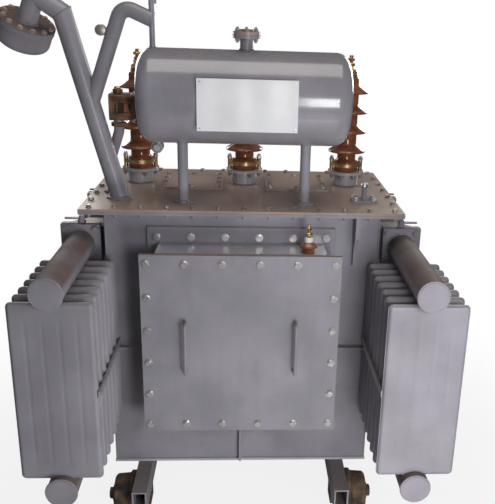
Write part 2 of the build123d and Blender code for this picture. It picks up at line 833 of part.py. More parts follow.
# Pipe from the cover up to the relay
relay_pipe_foot = Vector(relay_pipe_inset - cover_length / 2, relay_pipe_setback - cover_depth / 2, cover_top)
relay_pipe_top = Vector(relay_cap_x, relay_y, relay_level - relay_height / 2)
with BuildPart() as relay_pipe:
    with BuildLine():
        relay_line = FilletPolyline(
            relay_pipe_foot,
            relay_pipe_foot + Vector(0, 0, relay_pipe_rise),
            relay_pipe_top - Vector(0, 0, relay_pipe_neck),
            relay_pipe_top,
            radius=relay_pipe_bend,
        )
    with BuildSketch(Plane(origin=relay_line @ 0, z_dir=relay_line % 0)):
        Circle(relay_pipe_radius)
    sweep()
    vertical_disc(relay_pipe_foot.X, relay_pipe_foot.Y, cover_top, post_collar_height, post_collar_radius)
save(relay_pipe.part, "relay_pipe")

# Turrets on the cover, each with a top flange
turret_top = cover_top + turret_height
foot_low = turret_top + turret_flange_thickness
turret_places = {"left": -turret_spread, "centre": 0.0, "right": turret_spread}
with BuildPart() as turrets:
    for place in turret_places.values():
        vertical_disc(place, turret_y, cover_top, turret_height, turret_radius)
        vertical_disc(place, turret_y, turret_top, turret_flange_thickness, turret_flange_radius)
save(turrets.part, "turrets")

# Clamp rings round the feet of the bushings
with BuildPart() as clamp_rings:
    for place in turret_places.values():
        with BuildSketch(Plane((place, turret_y, foot_low + clamp_rise))):
            Circle(clamp_radius)
            Circle(foot_radius + clamp_clearance, mode=Mode.SUBTRACT)
        extrude(amount=clamp_height)
        for side in side_names:
            post_x = place + side * (clamp_radius - clamp_post_inset)
            post_height = clamp_rise + clamp_height + clamp_post_rise
            vertical_disc(post_x, turret_y, foot_low, post_height, clamp_post_radius)
save(clamp_rings.part, "clamp_rings")


def porcelain_outline():
    """Half section of a bushing: foot, body and sheds, from the axis outwards."""
    points = [(0, 0), (foot_radius, 0), (foot_radius, foot_height)]
    points.append((porcelain_radius, foot_height + foot_slope))
    for index in range(shed_count):
        low = shed_first + index * shed_pitch
        edge_low = low + shed_under
        points.append((porcelain_radius, low))
        points.append((shed_radius - shed_lip, edge_low))
        points.append((shed_radius, edge_low + shed_edge / 2))
        points.append((shed_radius - shed_lip, edge_low + shed_edge))
        points.append((porcelain_radius, edge_low + shed_edge + shed_slope))
    points.append((porcelain_radius, porcelain_height - porcelain_bevel))
    points.append((porcelain_radius - porcelain_bevel, porcelain_height))
    points.append((0, porcelain_height))
    return points


# High-voltage bushings and their terminals
for name, place in turret_places.items():
    with BuildPart() as hv_bushing:
        with BuildSketch(Plane(origin=(place, turret_y, foot_low), x_dir=(1, 0, 0), z_dir=(0, -1, 0))):
            with BuildLine():
                Polyline(*porcelain_outline(), close=True)
            make_face()
        revolve(axis=Axis((place, turret_y, 0), (0, 0, 1)))
    save(hv_bushing.part, f"hv_bushing_{name}")

porcelain_top = foot_low + porcelain_height
with BuildPart() as bushing_terminals:
    for place in turret_places.values():
        vertical_disc(place, turret_y, porcelain_top, cap_height, cap_radius)
        vertical_disc(place, turret_y, porcelain_top + cap_height, stud_height, stud_radius)
save(bushing_terminals.part, "bushing_terminals")

# Inspection plates between the turrets
plate_outer = turret_spread - plate_outer_gap
plate_front = turret_y - plate_forward
with BuildPart() as inspection_plates:
    plate_back = plate_front + plate_depth
    plate_top = cover_top + plate_thickness
    block((-plate_outer, plate_front, cover_top), (-plate_inner, plate_back, plate_top))
    block((plate_inner, plate_front, cover_top), (plate_outer, plate_back, plate_top))
save(inspection_plates.part, "inspection_plates")

# Thermometer pocket at the cover's front right
pocket_x = cover_length / 2 - pocket_inset
pocket_y = pocket_setback - cover_depth / 2
pocket_cap_low = cover_top + pocket_plate_thickness + pocket_height
with BuildPart() as thermometer_pocket:
    with Locations((pocket_x, pocket_y, cover_top + pocket_plate_thickness / 2)):
        Box(pocket_plate_length, pocket_plate_depth, pocket_plate_thickness)
    vertical_disc(pocket_x, pocket_y, cover_top, pocket_plate_thickness + pocket_height, pocket_radius)
    vertical_disc(pocket_x, pocket_y, pocket_cap_low, pocket_cap_radius, pocket_cap_radius)
    pocket_top = thermometer_pocket.edges().filter_by(GeomType.CIRCLE).sort_by(Axis.Z)[-1]
    fillet(pocket_top, pocket_cap_round)
save(thermometer_pocket.part, "thermometer_pocket")
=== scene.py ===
"""Dresses the power transformer: paint, porcelain, brass, bolts, welds, a bare sign and a studio.

Metres, in the same frame as the solids: X to the right, Y to the back, Z up, origin on
the floor under the middle of the tank.
"""

from __future__ import annotations

import json
import logging
import math
from dataclasses import asdict, dataclass, fields
from enum import Enum
from typing import Callable, Iterable, Sequence

import bmesh
import bpy
from mathutils import Matrix, Vector

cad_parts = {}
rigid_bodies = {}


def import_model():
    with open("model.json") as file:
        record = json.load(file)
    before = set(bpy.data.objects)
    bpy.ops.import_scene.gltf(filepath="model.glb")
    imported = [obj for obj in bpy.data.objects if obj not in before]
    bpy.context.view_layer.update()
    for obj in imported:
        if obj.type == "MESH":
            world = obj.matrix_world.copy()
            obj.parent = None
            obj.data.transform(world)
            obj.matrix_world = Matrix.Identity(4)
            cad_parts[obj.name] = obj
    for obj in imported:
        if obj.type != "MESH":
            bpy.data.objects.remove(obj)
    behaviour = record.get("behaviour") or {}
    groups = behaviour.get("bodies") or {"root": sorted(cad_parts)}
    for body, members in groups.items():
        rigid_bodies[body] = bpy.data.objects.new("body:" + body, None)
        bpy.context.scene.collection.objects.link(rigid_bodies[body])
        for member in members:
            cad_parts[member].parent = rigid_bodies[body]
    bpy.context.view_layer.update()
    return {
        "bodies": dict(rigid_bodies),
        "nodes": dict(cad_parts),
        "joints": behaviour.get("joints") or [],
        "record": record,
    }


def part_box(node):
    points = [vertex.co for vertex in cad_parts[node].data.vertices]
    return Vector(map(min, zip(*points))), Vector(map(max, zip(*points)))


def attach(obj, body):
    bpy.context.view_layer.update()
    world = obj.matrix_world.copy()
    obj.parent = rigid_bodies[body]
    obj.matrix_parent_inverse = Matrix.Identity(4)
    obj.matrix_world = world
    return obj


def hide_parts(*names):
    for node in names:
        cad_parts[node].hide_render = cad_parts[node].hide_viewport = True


log = logging.getLogger("transformer")

Pair = tuple[float, float]
Point = tuple[float, float, float]
Colour = tuple[float, float, float]
Spot = tuple[Point, Point]
Line = Sequence[Point]

FIXED_BODY = "transformer"
CORNERS = {
    "front_left": (-1, -1), "front_right": (1, -1), "back_left": (-1, 1), "back_right": (1, 1),
}
EVEN: Point = (1.0, 1.0, 1.0)


# Shader building blocks


class Signal:
    """A shader socket that adds, scales and mixes like a number."""

    def __init__(self, shade: Shade, socket: bpy.types.NodeSocket) -> None:
        """Wrap one output socket.

        Args:
            shade: The tree that the socket belongs to.
            socket: The output socket.
        """
        self.shade = shade
        self.socket = socket

    def _math(self, operation: str, *items: Signal | float) -> Signal:
        return self.shade.node("ShaderNodeMath", *items, operation=operation)

    def __add__(self, other: Signal | float) -> Signal:
        return self._math("ADD", self, other)

    def __radd__(self, other: float) -> Signal:
        return self._math("ADD", other, self)

    def __rsub__(self, other: float) -> Signal:
        return self._math("SUBTRACT", other, self)

    def __mul__(self, other: Signal | float) -> Signal:
        return self._math("MULTIPLY", self, other)

    def between(self, low: float, high: float) -> Signal:
        """Return a smooth step that is 0 at low and 1 at high.

        Args:
            low: The value that gives 0.
            high: The value that gives 1.

        Returns:
            The step as a signal.
        """
        return self.shade.node(
            "ShaderNodeMapRange", self, low, high, 0.0, 1.0, interpolation_type="SMOOTHSTEP"
        )


class Shade:
    """A material's node tree with short ways to add nodes."""

    def __init__(self, name: str) -> None:
        """Start an empty material.

        Args:
            name: The material's name.
        """
        self.material = bpy.data.materials.new(name)
        self.material.use_nodes = True
        self.tree = self.material.node_tree
        self.tree.nodes.clear()
        coordinates = self.tree.nodes.new("ShaderNodeTexCoord")
        self.place = Signal(self, coordinates.outputs["Object"])

    def node(
        self, kind: str, *items: Signal | float | Colour, out: int | str = 0, **settings: object
    ) -> Signal:
        """Add a node, set its options and feed its first inputs.

        Args:
            kind: The node's type name.
            *items: What goes into its inputs, in order.
            out: The output to hand back, by index or name.
            **settings: Node properties.

        Returns:
            The chosen output as a signal.
        """
        node = self.tree.nodes.new(kind)
        for key, value in settings.items():
            setattr(node, key, value)
        sockets = [socket for socket in node.inputs if socket.enabled]
        for socket, item in zip(sockets, items):
            self.feed(socket, item)
        outputs = [socket for socket in node.outputs if socket.enabled]
        return Signal(self, node.outputs[out] if isinstance(out, str) else outputs[out])

    def feed(self, socket: bpy.types.NodeSocket, item: Signal | float | Colour) -> None:
        """Link a signal to a socket, or set the socket's own value.

        Args:
            socket: The input socket.
            item: A signal, a number or a colour.
        """
        if isinstance(item, Signal):
            self.tree.links.new(item.socket, socket)
        elif socket.type == "RGBA":
            socket.default_value = (*item, 1.0)
        else:
            socket.default_value = item

    def noise(self, scale: float, detail: float = 3.0, stretch: Point = EVEN) -> Signal:
        """Add noise over the object's own coordinates.

        Args:
            scale: Features per metre.
            detail: Octaves.
            stretch: Scale along each axis.

        Returns:
            The noise, from 0 to 1.
        """
        place = self.place
        if stretch != EVEN:
            place = self.node("ShaderNodeVectorMath", place, stretch, operation="MULTIPLY")
        return self.node("ShaderNodeTexNoise", place, scale, detail, out="Fac")

    def mix(self, share: Signal | float, first: Signal | Colour, second: Signal | Colour) -> Signal:
        """Mix two colours.

        Args:
            share: How much of the second shows.
            first: The colour at 0.
            second: The colour at 1.

        Returns:
            The mixed colour.
        """
        return self.node("ShaderNodeMix", share, first, second, data_type="RGBA")

    def facing_up(self) -> Signal:
        """Return how far the surface faces up, from -1 to 1."""
        normal = self.node("ShaderNodeNewGeometry", out="Normal")
        return self.node("ShaderNodeSeparateXYZ", normal, out="Z")

    def bump(self, height: Signal, strength: float, distance: float) -> Signal:
        """Turn a height into a bump normal.

        Args:
            height: The height signal.
            strength: How strongly it shows.
            distance: The height in metres of a full step.

        Returns:
            The bent normal.
        """
        node = self.tree.nodes.new("ShaderNodeBump")
        node.inputs["Strength"].default_value = strength
        node.inputs["Distance"].default_value = distance
        self.feed(node.inputs["Height"], height)
        return Signal(self, node.outputs["Normal"])

    def finish(self, **inputs: Signal | float | Colour) -> bpy.types.Material:
        """Close the tree with a Principled shader.

        Args:
            **inputs: Shader inputs, their spaces written as underscores.

        Returns:
            The finished material.
        """
        shader = self.tree.nodes.new("ShaderNodeBsdfPrincipled")
        for key, value in inputs.items():
            self.feed(shader.inputs[key.replace("_", " ")], value)
        output = self.tree.nodes.new("ShaderNodeOutputMaterial")
        self.tree.links.new(shader.outputs["BSDF"], output.inputs["Surface"])
        return self.material


# Finishes


Inputs = dict[str, "Signal | float | Colour"]


@dataclass(frozen=True)
class Recipe:
    """How a finish is made. Each kind says what goes into the shader."""

    colour: Colour

    def inputs(self, shade: Shade) -> Inputs:
        """Return the shader's inputs, their spaces written as underscores.

        Args:
            shade: The tree that the signals belong to.

        Returns:
            Signals, numbers and colours by input.
        """
        raise NotImplementedError

    def build(self, name: str) -> bpy.types.Material:
        """Make the material.

        Args:
            name: The material's name.

        Returns:
            The material.
        """
        shade = Shade(name)
        return shade.finish(**self.inputs(shade))


@dataclass(frozen=True)
class Paint(Recipe):
    """Brushed semi-gloss enamel that has gathered brown dust on its upper faces."""

    dust: float = 0.8
    gloss: float = 0.3
    dust_colour: Colour = (0.155, 0.118, 0.09)
    dust_from: float = 0.35
    coat: float = 0.12

    def inputs(self, shade: Shade) -> Inputs:
        """Return the paint's inputs."""
        cloud = shade.noise(5.0, 4.0)
        fine = shade.noise(60.0, 3.0)
        streaks = shade.noise(26.0, 3.0, stretch=(1.0, 1.0, 0.07)).between(0.5, 0.75)
        up = shade.facing_up()
        wall = 1.0 - up.between(0.2, 0.6)
        cover = cloud.between(0.25, 0.7) * 0.5 + 0.5
        dust = up.between(self.dust_from, self.dust_from + 0.57) * cover * self.dust
        grime = shade.noise(14.0, 5.0).between(0.58, 0.8) * 0.16 + streaks * wall * 0.1
        deep = tuple(channel * 0.87 for channel in self.colour)
        pale = tuple(min(1.0, channel * 1.1) for channel in self.colour)
        colour = shade.mix(cloud.between(0.3, 0.7), deep, pale)
        colour = shade.mix(grime, colour, (0.13, 0.11, 0.095))
        specks = fine.between(0.7, 0.78) * shade.noise(9.0).between(0.52, 0.66)
        colour = shade.mix(specks * 0.35, colour, (0.14, 0.07, 0.04))
        brush = shade.noise(35.0, 2.0, stretch=(1.0, 1.0, 0.25)) + fine * 0.3
        return {
            "Base_Color": shade.mix(dust, colour, self.dust_colour),
            "Roughness": self.gloss + cloud * 0.1 + dust * 0.22 + grime * 0.5,
            "Coat_Weight": self.coat,
            "Coat_Roughness": 0.12,
            "Normal": shade.bump(brush, 0.22, 0.0015),
        }


@dataclass(frozen=True)
class Iron(Recipe):
    """Rough rusty iron with darker grease."""

    rust: Colour
    rough: float = 0.62

    def inputs(self, shade: Shade) -> Inputs:
        """Return the iron's inputs."""
        patches = shade.noise(22.0, 5.0).between(0.35, 0.65)
        grain = shade.noise(180.0, 4.0)
        colour = shade.mix(patches, self.colour, self.rust)
        return {
            "Base_Color": shade.mix(grain.between(0.55, 0.75) * 0.5, colour, (0.035, 0.03, 0.028)),
            "Metallic": patches * -0.5 + 0.6,
            "Roughness": patches * 0.2 + self.rough * 0.8,
            "Normal": shade.bump(grain * 0.6 + shade.noise(45.0, 4.0) * 0.4, 0.6, 0.002),
        }


@dataclass(frozen=True)
class Metal(Recipe):
    """Bare or plated metal with a little tarnish."""

    tarnish: Colour
    rough: float = 0.28

    def inputs(self, shade: Shade) -> Inputs:
        """Return the metal's inputs."""
        cloud = shade.noise(40.0, 4.0)
        return {
            "Base_Color": shade.mix(cloud.between(0.45, 0.75) * 0.7, self.colour, self.tarnish),
            "Metallic": 1.0,
            "Roughness": self.rough + cloud.between(0.4, 0.7) * 0.2,
            "Normal": shade.bump(shade.noise(260.0, 2.0), 0.12, 0.0006),
        }


@dataclass(frozen=True)
class Glaze(Recipe):
    """Glossy porcelain glaze with paler clouds, dark specks and dust."""

    pale: Colour
    rough: float = 0.1

    def inputs(self, shade: Shade) -> Inputs:
        """Return the glaze's inputs."""
        cloud = shade.noise(24.0, 4.0)
        specks = shade.noise(320.0, 2.0).between(0.68, 0.76)
        dust = shade.facing_up().between(0.3, 0.9) * 0.25
        colour = shade.mix(cloud.between(0.35, 0.7), self.colour, self.pale)
        colour = shade.mix(specks * 0.5, colour, (0.03, 0.012, 0.008))
        return {
            "Base_Color": shade.mix(dust * cloud, colour, (0.3, 0.23, 0.17)),
            "Roughness": self.rough + dust * 0.5,
            "Coat_Weight": 0.6,
            "Coat_Roughness": 0.05,
            "Normal": shade.bump(shade.noise(70.0, 2.0), 0.1, 0.001),
        }


@dataclass(frozen=True)
class Matt(Recipe):
    """Cork, enamel, glass or card: one colour with fine soiling."""

    soil: Colour
    rough: float = 0.6
    soiling: float = 0.3
    clouds: float = 18.0

    def inputs(self, shade: Shade) -> Inputs:
        """Return the surface's inputs."""
        cloud = shade.noise(self.clouds, 4.0)
        return {
            "Base_Color": shade.mix(cloud.between(0.4, 0.8) * self.soiling, self.colour, self.soil),
            "Roughness": self.rough + cloud * 0.12,
            "Normal": shade.bump(shade.noise(220.0, 2.0), 0.2, 0.0006),
        }


class Finish(Enum):
    """Every finish on the transformer, by its material's name."""

    PAINT = "grey_paint"
    TOP_PAINT = "dusty_paint"
    # Less dust and a glossier coat than the grey paint, which are real; its brighter grey is painted
    # light.
    CLEAN_PAINT = "clean_paint"
    # A far paler copy of the grey paint: painted light on the turrets, the cable box's body and the
    # tank's floor.
    PALE_PAINT = "pale_paint"
    # The pipes' paint: less dust and a little more roughness, and a brighter grey that is painted
    # light.
    PIPE_PAINT = "pipe_paint"
    GRIMY_PAINT = "grimy_paint"
    RUST = "rusty_iron"
    CAST = "cast_relay"
    GLAZE = "brown_porcelain"
    BRASS = "brass"
    ZINC = "zinc"
    DULL = "dull_zinc"
    CORK = "cork"
    SIGN = "sign_enamel"
    LABEL = "label"
    GLASS = "sight_glass"
    COLLAR = "white_collar"


GREY: Colour = (0.237, 0.229, 0.262)
RECIPES = {
    Finish.PAINT: Paint(GREY),
    Finish.TOP_PAINT: Paint(
        (0.3, 0.24, 0.22), dust=0.95, gloss=0.26, dust_colour=(0.41, 0.295, 0.24)
    ),
    # Less dust and a glossy coat, and a grey about a tenth brighter than the paint's: painted light.
    Finish.CLEAN_PAINT: Paint((0.262, 0.254, 0.29), dust=0.3, gloss=0.15, coat=0.9),
    # Painted light: a grey brighter than the paint's, with less dust and a little more roughness.
    Finish.PIPE_PAINT: Paint((0.27, 0.263, 0.3), dust=0.3, gloss=0.34, coat=0.2),
    # Painted light: the grey paint made far paler, with little dust.
    Finish.PALE_PAINT: Paint((0.41, 0.395, 0.43), dust=0.08, gloss=0.17, coat=0.5),
    Finish.GRIMY_PAINT: Paint(
        GREY, dust=1.0, gloss=0.5, coat=0.0, dust_colour=(0.115, 0.075, 0.058), dust_from=-0.05
    ),
    Finish.RUST: Iron((0.07, 0.062, 0.055), (0.17, 0.105, 0.06)),
    Finish.CAST: Iron((0.16, 0.09, 0.06), (0.24, 0.13, 0.075), 0.42),
    Finish.GLAZE: Glaze((0.16, 0.045, 0.018), (0.27, 0.09, 0.035)),
    Finish.BRASS: Metal((0.86, 0.62, 0.32), (0.5, 0.3, 0.14), 0.24),
    Finish.ZINC: Metal((0.84, 0.83, 0.84), (0.55, 0.5, 0.47), 0.36),
    Finish.DULL: Metal((0.62, 0.56, 0.52), (0.34, 0.26, 0.2), 0.42),
    Finish.CORK: Matt((0.3, 0.195, 0.135), (0.16, 0.105, 0.075), 0.7),
    Finish.SIGN: Matt((0.76, 0.77, 0.8), (0.52, 0.5, 0.48), 0.26, 0.28, 9.0),
    Finish.LABEL: Matt((0.34, 0.1, 0.08), (0.2, 0.07, 0.05), 0.5, 0.4, 60.0),
    Finish.GLASS: Matt((0.03, 0.02, 0.012), (0.08, 0.05, 0.02), 0.06, 0.5, 50.0),
    Finish.COLLAR: Matt((0.62, 0.6, 0.58), (0.34, 0.28, 0.22), 0.4, 0.5, 60.0),
}
PAINTED = (
    Finish.TOP_PAINT, Finish.CLEAN_PAINT, Finish.PALE_PAINT, Finish.PIPE_PAINT,
    Finish.GRIMY_PAINT, Finish.CORK, Finish.SIGN,
)
SLOTS = {
    **dict.fromkeys(PAINTED, Finish.PAINT),
    **dict.fromkeys((Finish.ZINC, Finish.DULL), Finish.BRASS),
    **dict.fromkeys((Finish.LABEL, Finish.GLASS), Finish.CAST),
    Finish.COLLAR: Finish.GLAZE,
}


class Palette:
    """The materials, each made once."""

    def __init__(self) -> None:
        """Build every finish."""
        self.made = {finish: recipe.build(finish.value) for finish, recipe in RECIPES.items()}

    def __getitem__(self, finish: Finish) -> bpy.types.Material:
        return self.made[finish]


# Outlines and lines

UP: Point = (0.0, 0.0, 1.0)
DOWN: Point = (0.0, 0.0, -1.0)
FRONT: Point = (0.0, -1.0, 0.0)
BACK: Point = (0.0, 1.0, 0.0)
LEFT: Point = (-1.0, 0.0, 0.0)
RIGHT: Point = (1.0, 0.0, 0.0)
SIDES = (-1, 1)
TINY = 1e-6


def spaced(low: float, high: float, count: int) -> list[float]:
    """Return evenly spaced numbers, both ends included.

    Args:
        low: The first.
        high: The last.
        count: How many.

    Returns:
        The numbers.
    """
    return [low + (high - low) * index / (count - 1) for index in range(count)]


def around(count: int, radius: float, start: float = 0.0) -> list[Pair]:
    """Return points evenly spaced round a circle.

    Args:
        count: How many.
        radius: The circle's radius.
        start: Where the first lies, as a share of one step.

    Returns:
        Pairs of numbers in the circle's plane.
    """
    angles = [math.tau * (step + start) / count for step in range(count)]
    return [(radius * math.cos(angle), radius * math.sin(angle)) for angle in angles]


def rectangle(low: Pair, high: Pair) -> list[Pair]:
    """Return the four corners of a rectangle.

    Args:
        low: Its first corner.
        high: Its opposite corner.

    Returns:
        The corners in order.
    """
    return [low, (high[0], low[1]), high, (low[0], high[1])]


def rod(radius: float, low: float, high: float) -> list[Pair]:
    """Return the lathe profile of a rod with flat ends.

    Args:
        radius: Its radius.
        low: Where it starts.
        high: Where it ends.

    Returns:
        Radius and height pairs.
    """
    return [(0.0, low), (radius, low), (radius, high), (0.0, high)]


def thread(radius: float, high: float, pitch: float = 0.0025) -> list[Pair]:
    """Return the lathe profile of a threaded stud that stands on height 0.

    Args:
        radius: Over the thread.
        high: Where it ends.
        pitch: From ridge to ridge.

    Returns:
        Radius and height pairs.
    """
    root = radius * 0.88
    profile = [(0.0, 0.0), (root, 0.0)]
    for index in range(int(high / pitch)):
        for reach, share in ((root, 0.2), (radius, 0.5), (root, 0.8)):
            profile.append((reach, (index + share) * pitch))
    return [*profile, (radius * 0.8, high), (0.0, high)]


def aimed(axis: Sequence[float]) -> Matrix:
    """Return the rotation that turns +Z to an axis.

    Args:
        axis: The direction.

    Returns:
        The rotation.
    """
    return Vector(UP).rotation_difference(Vector(axis)).to_matrix()


def circle_line(
    centre: Sequence[float], axis: Sequence[float], radius: float, steps: int
) -> list[Point]:
    """Return points on a circle.

    Args:
        centre: The circle's centre.
        axis: Its axis.
        radius: Its radius.
        steps: Points round it.

    Returns:
        The points, the last on the first.
    """
    turn, spots = aimed(axis), around(steps, radius)
    return [tuple(turn @ Vector((a, b, 0)) + Vector(centre)) for a, b in (*spots, spots[0])]


def box_line(low: Pair, high: Pair, place: Callable[[float, float], Point]) -> list[Point]:
    """Return a closed rectangle in space.

    Args:
        low: Its first corner.
        high: Its opposite corner.
        place: Turns the two numbers of a corner into a point.

    Returns:
        Five points, the last on the first.
    """
    corners = rectangle(low, high)
    return [place(a, b) for a, b in (*corners, corners[0])]


def halfway(low: Vector, high: Vector) -> Pair:
    """Return the x and y halfway between the corners of a box.

    Args:
        low: Its low corner.
        high: Its high corner.

    Returns:
        The two numbers.
    """
    return (low.x + high.x) / 2, (low.y + high.y) / 2


def clamped(value: float) -> float:
    """Return the value held between 0 and 1.

    Args:
        value: Any number.

    Returns:
        The held number.
    """
    return min(1.0, max(0.0, value))


def four(across: float, up: float) -> list[Pair]:
    """Return the corners of a rectangle about the origin.

    Args:
        across: Half its width.
        up: Half its height.

    Returns:
        The corners, the left ones first.
    """
    return [(a, b) for a in (-across, across) for b in (-up, up)]


def refined(half: float, count: int, edge: float) -> list[float]:
    """Return numbers from -half to half, closer together near the ends.

    Args:
        half: Half the range.
        count: How many lie in the middle part.
        edge: Width of each end part.

    Returns:
        The numbers.
    """
    fine = max(8, count // 5)
    ends = [edge * (step / fine) ** 1.4 for step in range(fine)]
    left = [-half + value for value in ends]
    right = [half - value for value in reversed(ends)]
    return left + spaced(-half + edge, half - edge, count) + right


def wrapped(x: float, y: float, z: float, radius: float, pipe: float, up: int = -1) -> list[Point]:
    """Return the seam of an upright pipe on a drum that lies along X.

    Args:
        x: The pipe's place.
        y: The place of the pipe and of the drum's axis.
        z: Height of the drum's axis.
        radius: The drum's radius.
        pipe: The pipe's radius.
        up: 1 for the drum's top, -1 for its underside.

    Returns:
        The points, the last on the first.
    """
    ring = around(36, pipe)
    return [(x + a, y + b, z + up * math.sqrt(radius**2 - b**2)) for a, b in (*ring, ring[0])]


def foot_lines(x: float, y: float, base: float) -> list[list[Point]]:
    """Return the seams round a pipe's round foot and round the pipe on it.

    Args:
        x: Its place.
        y: Its place.
        base: Height of what it stands on.

    Returns:
        The two lines.
    """
    return [
        circle_line((x, y, base + 0.001), UP, 0.034, 36),
        circle_line((x, y, base + 0.009), UP, 0.0215, 32),
    ]


def cut_line(corner: Vector, along: Vector, normal: Vector, radius: float) -> list[Point]:
    """Return the seam where a plane cuts a round pipe.

    Args:
        corner: Where the plane meets the pipe's centre line.
        along: The pipe's direction.
        normal: The plane's normal.
        radius: The pipe's radius.

    Returns:
        The points, the last on the first.
    """
    side = along.orthogonal().normalized()
    other = along.cross(side)
    points, ring = [], around(48, radius)
    for a, b in (*ring, ring[0]):
        out = side * a + other * b
        points.append(tuple(corner + out - along * (out.dot(normal) / along.dot(normal))))
    return points


# Mesh building blocks


def added(name: str, data: bpy.types.ID) -> bpy.types.Object:
    """Put data into the scene as an object.

    Args:
        name: The object's name.
        data: Its mesh, lamp or camera.

    Returns:
        The new object.
    """
    obj = bpy.data.objects.new(name, data)
    bpy.context.scene.collection.objects.link(obj)
    return obj


class Solid:
    """A mesh that grows from lathed, extruded and pasted forms, and becomes one piece."""

    nut_levels = ((0.93, 0.0), (1.0, 0.12), (1.0, 0.86), (0.9, 1.0))

    def __init__(self) -> None:
        """Start empty."""
        self.bm = bmesh.new()

    def join(self, low: list[bmesh.types.BMVert], high: list[bmesh.types.BMVert]) -> None:
        """Close the strip between two rings, of which one may be a single point."""
        count = max(len(low), len(high))
        for step in range(count):
            after = (step + 1) % count
            corners = (
                low[step % len(low)], low[after % len(low)],
                high[after % len(high)], high[step % len(high)],
            )
            unique = list(dict.fromkeys(corners))
            if len(unique) > 2:
                self.bm.faces.new(unique)

    def lathe(
        self, profile: Sequence[Pair], origin: Point, axis: Point = UP,
        steps: int = 48, turn: float = 0.0, capped: bool = False,
    ) -> Solid:
        """Turn a profile of (radius, height) pairs about an axis.

        Args:
            profile: Radius and height of each point, from one end to the other.
            origin: Where height 0 lies.
            axis: The direction of height.
            steps: Facets round the axis.
            turn: Where the first facet starts, as a share of one.
            capped: Whether flat faces close the first and last rings.

        Returns:
            This solid.
        """
        aim, rings = aimed(axis), []
        for radius, height in profile:
            spots = around(steps, radius, turn) if radius > TINY else [(0.0, 0.0)]
            places = [aim @ Vector((a, b, height)) + Vector(origin) for a, b in spots]
            rings.append([self.bm.verts.new(place) for place in places])
        if capped:
            self.bm.faces.new(rings[0][::-1])
            self.bm.faces.new(rings[-1])
        for low, high in zip(rings, rings[1:]):
            self.join(low, high)
        return self

    def hexagon(
        self, origin: Point, axis: Point, radius: float, height: float, turn: float
    ) -> Solid:
        """Add a hexagonal nut with bevelled corners.

        Args:
            origin: Middle of its base.
            axis: Which way it points.
            radius: Over its corners.
            height: Along the axis.
            turn: Rotation in radians.

        Returns:
            This solid.
        """
        profile = [(radius * share, height * rise) for share, rise in self.nut_levels]
        return self.lathe(profile, origin, axis, 6, turn * 6 / math.tau, capped=True)

    def prism(
        self, outline: Sequence[Pair], origin: Point, depth: float,
        across: Point = RIGHT, up: Point = UP,
    ) -> Solid:
        """Extrude an outline.

        Args:
            outline: Corners as (across, up) pairs.
            origin: Where (0, 0) lies.
            depth: How far it goes along across x up.
            across: Direction of the first number.
            up: Direction of the second number.

        Returns:
            This solid.
        """
        side, rise = Vector(across), Vector(up)
        out = side.cross(rise) * depth
        near = [self.bm.verts.new(Vector(origin) + side * a + rise * b) for a, b in outline]
        far = [self.bm.verts.new(vertex.co + out) for vertex in near]
        self.bm.faces.new(near[::-1])
        self.bm.faces.new(far)
        self.join(near, far)
        return self

    def sheet(self, rows: Sequence[Sequence[Point]], closed: bool = False) -> Solid:
        """Add a grid of points as a sheet.

        Args:
            rows: Points, row by row.
            closed: Whether each row joins its own start.

        Returns:
            This solid.
        """
        grid = [[self.bm.verts.new(point) for point in row] for row in rows]
        for low, high in zip(grid, grid[1:]):
            for step in range(len(low) if closed else len(low) - 1):
                after = (step + 1) % len(low)
                self.bm.faces.new((low[step], low[after], high[after], high[step]))
        return self

    def piece(
        self, name: str, material: bpy.types.Material, smooth: float = 35.0, bevel: float = 0.0
    ) -> bpy.types.Object:
        """Close the mesh into an object.

        Args:
            name: The piece's name.
            material: Its finish.
            smooth: Angle in degrees up to which edges are smoothed.
            bevel: Width of a bevel on its sharp edges, or 0.

        Returns:
            The new object.
        """
        bmesh.ops.remove_doubles(self.bm, verts=self.bm.verts, dist=TINY)
        if bevel:
            edges = [
                edge for edge in self.bm.edges
                if edge.is_manifold and edge.calc_face_angle(0.0) > 0.6
            ]
            bmesh.ops.bevel(
                self.bm, geom=edges, offset=bevel, segments=2, profile=0.6, affect="EDGES"
            )
        bmesh.ops.recalc_face_normals(self.bm, faces=self.bm.faces)
        mesh = bpy.data.meshes.new(name)
        self.bm.to_mesh(mesh)
        self.bm.free()
        mesh.materials.append(material)
        obj = added(name, mesh)
        mesh.shade_smooth()
        mesh.set_sharp_from_angle(angle=math.radians(smooth))
        return obj


